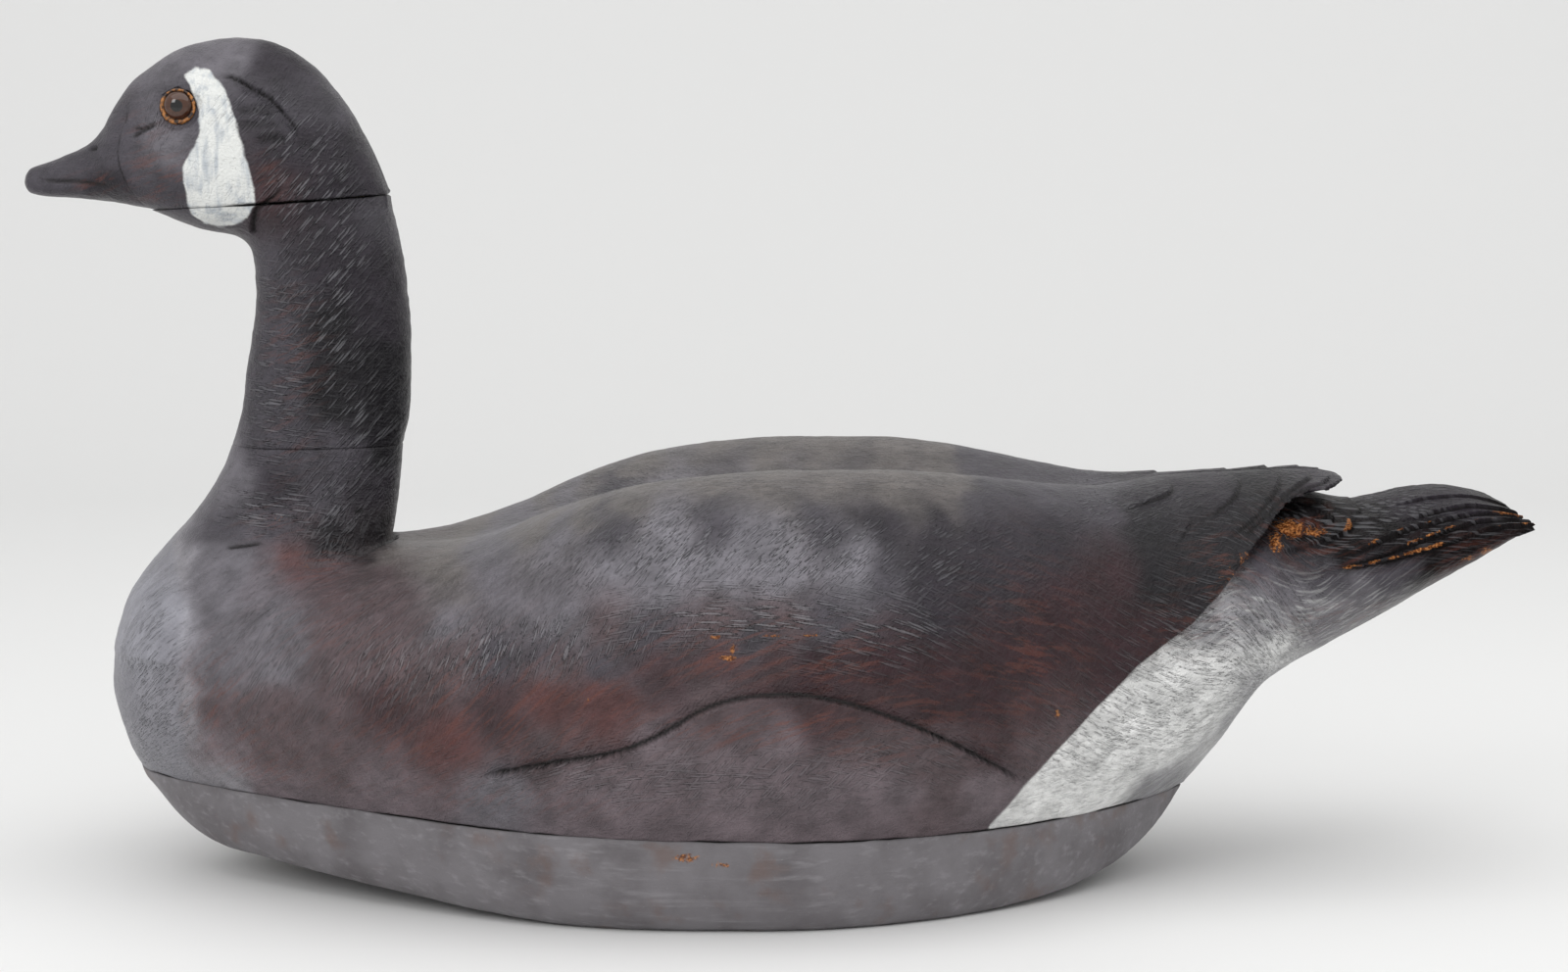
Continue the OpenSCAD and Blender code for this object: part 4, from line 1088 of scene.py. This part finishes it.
def goose_paint():
    t = Tree("goose_paint")
    chart, spot = t.fact("chart", True), t.where()
    drawn = t.stretch(chart, (1, 1, 1), -0.35)
    streaks = t.noise(t.stretch(drawn, (0.06, 0.35, 0.3)), 1.0, 5.0, 0.6)
    blots = t.noise(spot, 0.075, 6.0, 0.62)
    speck = t.noise(spot, 0.9, 3.0)
    uneven = t.plus(t.times(streaks, 0.3), t.times(blots, 0.7))
    shade = t.plus(t.times(t.ramp(uneven, 0.32, 0.68), 0.6), 0.68)
    # the paint's colour, painted sheen and painted light included, mottled at random
    color = t.scale(t.fact("paint", True), shade)
    breast = t.ramp(t.plus(t.fact("breast"), t.times(uneven, 12)), 3.0, 8.0)
    color = t.mix(t.times(breast, 0.5), color, BREAST_PAINT)
    wear = t.noise(t.stretch(drawn, (0.05, 0.4, 0.3)), 1.0, 6.0, 0.7)
    rust = t.times(t.fact("worn"), t.ramp(wear, 0.49, 0.6))
    color = t.mix(t.times(rust, 0.5), color, UNDERCOAT)
    brushed = t.noise(t.stretch(t.stretch(chart, (1, 1, 1), -0.7), (0.06, 0.9, 0.6)), 1.0, 4.0)
    rump = t.times(t.fact("rump"), t.ramp(brushed, 0.5, 0.66))
    color = t.mix(t.times(rump, 0.35), color, WHITE_PAINT)
    thin = t.times(t.fact("rump"), t.ramp(brushed, 0.46, 0.32))
    color = t.mix(t.times(thin, 0.35), color, (0.14, 0.14, 0.15))
    stains = t.ramp(t.noise(t.stretch(spot, (0.3, 0.4, 0.05)), 1.0, 4.0), 0.42, 0.72)
    white = t.mix(t.times(stains, 0.75), WHITE_PAINT, WHITE_SHADE)
    color = t.mix(t.ramp(t.plus(t.fact("patch"), t.times(speck, 0.8)), -0.3, 1.0), color, white)
    marks = []
    for fact, turn, long in (("steep", 1.2, 12), ("slanting", 0.85, 14), ("level", -0.12, 16)):
        dash = t.dashes(t.stretch(t.stretch(chart, (1, 1, 1), -turn), (1 / long, 1 / STROKE_WIDTH, 0.3)))
        marks.append(t.times(dash, t.calc("ADD", t.fact(fact), 0.06, True)))
    stroke = t.calc("MAXIMUM", marks[0], t.calc("MAXIMUM", marks[1], marks[2]))
    # strokes lightened: scuffs, and painted highlight where their ridges would catch the light
    color = t.mix(t.times(stroke, 0.36), color, SCUFF_AND_PAINTED_HIGHLIGHT)
    color = worn_through(t, color, spot, speck)
    color = t.mix(t.times(t.ramp(speck, 0.7, 0.8), 0.25), color, (0.3, 0.28, 0.26))
    # painted shade in the cuts and below the steps, and dirt in the glue joints
    color = t.mix(t.fact("dark"), color, JOINT_DIRT_AND_PAINTED_SHADE)
    rough = t.plus(t.times(uneven, 0.34), 0.2)
    ridges = t.times(t.times(t.fact("rump"), brushed), 0.5)
    coarse = t.bump(t.plus(stroke, ridges), 0.0022, 1.0)
    fine = t.bump(t.plus(speck, t.noise(spot, 0.3, 3.0)), 0.0009, 0.8, coarse)
    shine = t.calc("SUBTRACT", 0.24, t.times(t.fact("dull"), 0.2))
    return t.finish(color, rough, fine, shine)


def bottom_paint():
    t = Tree("bottom_board_paint")
    spot = t.where()
    streaks = t.noise(t.stretch(spot, (0.02, 0.3, 0.3)), 1.0, 5.0, 0.6)
    blots = t.noise(spot, 0.035, 4.0)
    color = t.mix(t.ramp(blots, 0.35, 0.7), (0.17, 0.16, 0.171), (0.11, 0.1, 0.107))
    color = t.mix(t.times(t.ramp(streaks, 0.5, 0.75), 0.5), color, (0.28, 0.27, 0.285))
    brown = t.times(t.ramp(t.noise(spot, 0.05, 4.0), 0.54, 0.72), 0.55)
    color = t.mix(brown, color, (0.13, 0.08, 0.065))
    speck = t.noise(spot, 0.8, 3.0)
    color = t.mix(t.times(t.ramp(speck, 0.66, 0.78), 0.3), color, (0.36, 0.35, 0.35))
    color = worn_through(t, color, spot, speck)
    color = t.mix(t.fact("dark"), color, JOINT_DIRT_AND_PAINTED_SHADE)
    rough = t.plus(t.times(blots, 0.25), 0.4)
    coarse = t.bump(streaks, 0.0006, 0.6)
    return t.finish(color, rough, t.bump(t.noise(spot, 1.3, 3.0), 0.0004, 0.4, coarse))


def plain_wood(name, color):
    t = Tree(name)
    spot = t.where()
    rings = t.noise(t.stretch(spot, (0.4, 0.4, 0.03)), 1.0, 4.0)
    darker = tuple(0.6 * c for c in color)
    return t.finish(t.mix(rings, color, darker), t.plus(t.times(rings, 0.2), 0.5),
                    t.bump(rings, 0.0003, 0.4))


def weathered_metal(name, color, tarnish, roughness, metallic):
    t = Tree(name)
    spot = t.where()
    spread = t.ramp(t.noise(spot, 0.25, 4.0), 0.4, 0.68)
    rough = t.plus(t.times(spread, 0.3), roughness)
    return t.finish(t.mix(spread, color, tarnish), rough, t.bump(t.noise(spot, 1.1, 3.0), 0.0002, 0.4),
                    metallic=metallic)


def eye_glass(centre, radius):
    """Glass over a brown iris and a black pupil, coloured by the distance from the eye's axis."""
    t = Tree("eye_glass_brown")
    coords = t.add("TexCoord", "Object", {})
    flat = t.add("VectorMath", "Vector", {0: coords, 1: (1, 0, 1)}, operation="MULTIPLY")
    away = t.add("VectorMath", "Value", {0: flat, 1: (centre[0], 0, centre[2])}, operation="DISTANCE")
    out = t.calc("DIVIDE", away, radius)
    mottle = t.noise(t.where(), 0.8, 3.0)
    iris = t.mix(mottle, (0.03, 0.009, 0.004), (0.085, 0.03, 0.012))
    color = t.mix(t.ramp(out, 0.36, 0.44), (0.002, 0.002, 0.002), iris)
    color = t.mix(t.ramp(out, 0.8, 1.0), color, (0.01, 0.004, 0.003))
    t.shader.inputs["Coat Weight"].default_value = 0.6
    t.shader.inputs["Coat Roughness"].default_value = 0.02
    return t.finish(color, t.plus(t.times(mottle, 0.04), 0.04), specular=0.3)


def round_node(node):
    """A round CAD node's middle, radius, outward direction, and inner and outer levels."""
    low, high = (np.array(corner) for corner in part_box(node))
    centre, radius = (low + high) / 2, (high[0] - low[0]) / 2
    out = 1 if centre[1] > 0 else -1
    inner, outer = (low[1], high[1]) if out > 0 else (high[1], low[1])
    return centre, radius, out, inner, outer


def closed_mesh(bm, name):
    bmesh.ops.recalc_face_normals(bm, faces=bm.faces)
    mesh = bpy.data.meshes.new(name)
    bm.to_mesh(mesh)
    bm.free()
    return mesh


def glass_dome(side):
    """The glass of one eye, domed and smooth."""
    node = "eye_glass_" + side
    centre, radius, _, back, top = round_node(node)
    around, across = 64, 20
    bm = bmesh.new()
    rings = []
    for k in range(across):
        a = math.pi / 2 * k / across
        reach = radius * math.cos(a) ** 0.9
        level = back + (top - back) * (0.3 + 0.7 * math.sin(a))
        rings.append([bm.verts.new((centre[0] + reach * math.cos(b), level, centre[2] + reach * math.sin(b)))
                      for b in np.arange(around) * 2 * math.pi / around])
    foot = [bm.verts.new((v.co.x, back, v.co.z)) for v in rings[0]]
    tip = bm.verts.new((centre[0], top, centre[2]))
    for inner, outer in zip([foot, *rings], rings):
        for i in range(around):
            k = (i + 1) % around
            bm.faces.new((inner[i], inner[k], outer[k], outer[i]))
    for i in range(around):
        bm.faces.new((rings[-1][i], rings[-1][(i + 1) % around], tip))
    bm.faces.new(foot)
    name = "domed_" + node
    link(name, closed_mesh(bm, name), eye_glass(centre, radius), node)


def eye_enamel(name, inner, outer):
    t = Tree(name)
    mottle = t.noise(t.where(), 0.9, 3.0)
    return t.finish(t.mix(mottle, inner, outer), t.plus(t.times(mottle, 0.1), 0.2))


def amber_putty():
    t = Tree("amber_putty")
    spot = t.where()
    lumps = t.noise(spot, 0.55, 4.0)
    color = t.mix(t.ramp(lumps, 0.42, 0.6), (0.03, 0.014, 0.008), (0.42, 0.17, 0.045))
    return t.finish(color, t.plus(t.times(lumps, 0.3), 0.3), t.bump(lumps, 0.0006, 0.6))


def clothe(nodes, material):
    for name in nodes:
        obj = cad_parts[name]
        for slot in obj.material_slots:
            slot.material = material
        if not obj.material_slots:
            obj.data.materials.append(material)


def putty_ring(side):
    """A lumpy ring of putty pressed in round one eye."""
    node = "eye_putty_" + side
    centre, radius, out, _, face = round_node(node)
    around, across = 72, 14
    bm = bmesh.new()
    rings = []
    for a in np.arange(around) * 2 * math.pi / around:
        lump = np.array([[math.cos(a) * 2.4 + 9, math.sin(a) * 2.4 + 4, 5 + out]])
        full = float(layered_noise(lump, 3)[0])
        fat = radius * (0.02 + 0.08 * full + 0.05 * (1 - math.sin(a)))
        ring = []
        for b in np.arange(across) * 2 * math.pi / across:
            reach = radius * 0.9 + fat * math.cos(b)
            ring.append(bm.verts.new((centre[0] + reach * math.cos(a), face + out * fat * 0.75 * math.sin(b),
                                      centre[2] + reach * math.sin(a))))
        rings.append(ring)
    for i in range(around):
        for j in range(across):
            k, n = (i + 1) % around, (j + 1) % across
            bm.faces.new((rings[i][j], rings[k][j], rings[k][n], rings[i][n]))
    name = "pressed_" + node
    link(name, closed_mesh(bm, name), amber_putty(), node)


def pieces_below(node):
    """Middle and half size, in metres, of each separate piece of one CAD node."""
    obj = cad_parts[node]
    bm = bmesh.new()
    bm.from_mesh(obj.data)
    bm.transform(obj.matrix_world)
    waiting, found = set(bm.verts), []
    while waiting:
        island, edge = set(), [waiting.pop()]
        while edge:
            vert = edge.pop()
            island.add(vert)
            edge += [e.other_vert(vert) for e in vert.link_edges if e.other_vert(vert) not in island]
        waiting -= island
        corners = np.array([v.co for v in island])
        found.append((corners.min(0), corners.max(0)))
    bm.free()
    return [((low + high) / 2, (high - low) / 2) for low, high in found]


RECESS_TOP = 25  # drawn mm, the highest that the board's underside comes over a plug


def recess_below(p, node, extra, lift):
    """Raises the board's underside over the pieces let into it, so that they show."""
    place = to_metres(p)
    under = p[:, 2] < RECESS_TOP
    for middle, half in pieces_below(node):
        away = np.maximum(abs(place[:, :2] - middle[:2]) - half[:2] + half[1], 0)
        inside = np.hypot(*away.T) - half[1] < extra
        face = np.where(inside & under, middle[2] - half[2] + lift, -1)
        p[:, 2] = np.maximum(p[:, 2], (face - box_low[2]) / FIT[2])
    return p


# ---- The goose ----
def build_goose():
    p, quads = carve_blank()
    normals = normals_of(p, quads)
    push, dark, bare = press_cuts(p, normals)
    facts = paint_facts(p, normals, dark, bare)
    p = p + normals * (push + tool_marks(p))[:, None]
    p[:, 2] = np.maximum(p[:, 2], 0)
    p = sink_sockets(p)
    p = recess_below(p, "ballast_weight", extra=0.001, lift=0.0016)
    p = recess_below(p, "bottom_screw_plugs", extra=0.0008, lift=0.001)
    paint, bottom = goose_paint(), bottom_paint()
    block("carved_head_block", p, quads, facts, HEAD_JOINT, None, paint)
    block("carved_neck_block", p, quads, facts, NECK_JOINT, HEAD_JOINT, paint)
    block("carved_body_shell", p, quads, facts, BODY_JOINT, NECK_JOINT, paint)
    block("carved_bottom_board", p, quads, facts, None, BODY_JOINT, bottom)


# ---- Stage, in metres ----
SKY_STRENGTH = 0.78
PAPER_WIDTH, PAPER_FRONT, PAPER_BACK, PAPER_HEIGHT, PAPER_BEND = 8.0, -3.0, 1.3, 3.0, 0.8


def studio():
    world = bpy.data.worlds.new("studio")
    bpy.context.scene.world = world
    world.use_nodes = True
    sky = world.node_tree.nodes["Background"]
    sky.inputs["Color"].default_value = (1.0, 1.0, 1.0, 1)
    sky.inputs["Strength"].default_value = SKY_STRENGTH
    bm = bmesh.new()
    profile = [(PAPER_FRONT, 0.0)]
    for a in np.linspace(0, math.pi / 2, 12):
        profile.append((PAPER_BACK + PAPER_BEND * math.sin(a), PAPER_BEND - PAPER_BEND * math.cos(a)))
    profile.append((PAPER_BACK + PAPER_BEND, PAPER_HEIGHT))
    rows = [[bm.verts.new((x, y, z)) for x in (-PAPER_WIDTH / 2, PAPER_WIDTH / 2)] for y, z in profile]
    for low, high in zip(rows, rows[1:]):
        bm.faces.new((low[0], low[1], high[1], high[0]))
    mesh = bpy.data.meshes.new("sweep")
    bm.to_mesh(mesh)
    bm.free()
    mesh.polygons.foreach_set("use_smooth", np.ones(len(mesh.polygons), bool))
    sweep = bpy.data.objects.new("sweep", mesh)
    bpy.context.collection.objects.link(sweep)
    t = Tree("sweep_paper")
    mesh.materials.append(t.finish((0.8, 0.8, 0.795), 0.7, specular=0.3))
    for name, place, aim, size, power in (
        ("top_light", (0.2, -0.5, 1.6), (0.1, -0.2, 0), (3.2, 1.6), 17),
        ("window_light", (-1.4, -2.2, 1.5), (0, 0, 0.15), (0.9, 0.9), 15),
        ("backdrop_light", (0.0, 0.6, 1.9), (0, 1.9, 0.5), (2.6, 0.6), 0.5),
    ):
        data = bpy.data.lights.new(name, "AREA")
        data.shape, data.size, data.size_y, data.energy = "RECTANGLE", *size, power
        lamp = bpy.data.objects.new(name, data)
        lamp.location = place
        lamp.rotation_euler = (Vector(aim) - Vector(place)).to_track_quat("-Z", "Y").to_euler()
        bpy.context.collection.objects.link(lamp)


CAMERA_PLACE, CAMERA_DROP, CAMERA_LENS = (0.0053, -1.45, 0.345), 6.9, 76.3


def camera():
    data = bpy.data.cameras.new("camera")
    data.lens, data.sensor_width = CAMERA_LENS, 36
    obj = bpy.data.objects.new("camera", data)
    obj.location = CAMERA_PLACE
    obj.rotation_euler = (math.radians(90 - CAMERA_DROP), 0, 0)
    bpy.context.collection.objects.link(obj)
    bpy.context.scene.camera = obj


build_goose()
for piece in (glass_dome, putty_ring):
    for side in ("left", "right"):
        piece(side)
clothe(["eye_iris_left", "eye_iris_right"],
       eye_enamel("iris_brown", (0.05, 0.018, 0.008), (0.09, 0.035, 0.014)))
clothe(["eye_pupil_left", "eye_pupil_right"],
       eye_enamel("pupil_black", (0.003, 0.003, 0.003), (0.008, 0.007, 0.006)))
clothe(["head_dowels", "neck_dowels", "locating_pins"], plain_wood("birch", (0.55, 0.38, 0.2)))
clothe(["bottom_screw_plugs"], plain_wood("plug_wood", (0.12, 0.1, 0.085)))
for nodes, *look in (
    (["bottom_screws", "ballast_screws"], "dull_brass", (0.42, 0.3, 0.12), (0.16, 0.12, 0.07), 0.35, 0.9),
    (["neck_lag_screw", "neck_washer"], "plain_steel", (0.45, 0.45, 0.46), (0.25, 0.22, 0.2), 0.3, 0.9),
    (["ballast_weight"], "cast_lead", (0.2, 0.21, 0.23), (0.1, 0.1, 0.11), 0.5, 0.7),
    (["line_staple", "line_ring"], "weathered_wire", (0.28, 0.24, 0.2), (0.14, 0.07, 0.035), 0.45, 0.9),
):
    clothe(nodes, weathered_metal(*look))
studio()
camera()
bpy.context.scene.view_settings.view_transform = "Standard"
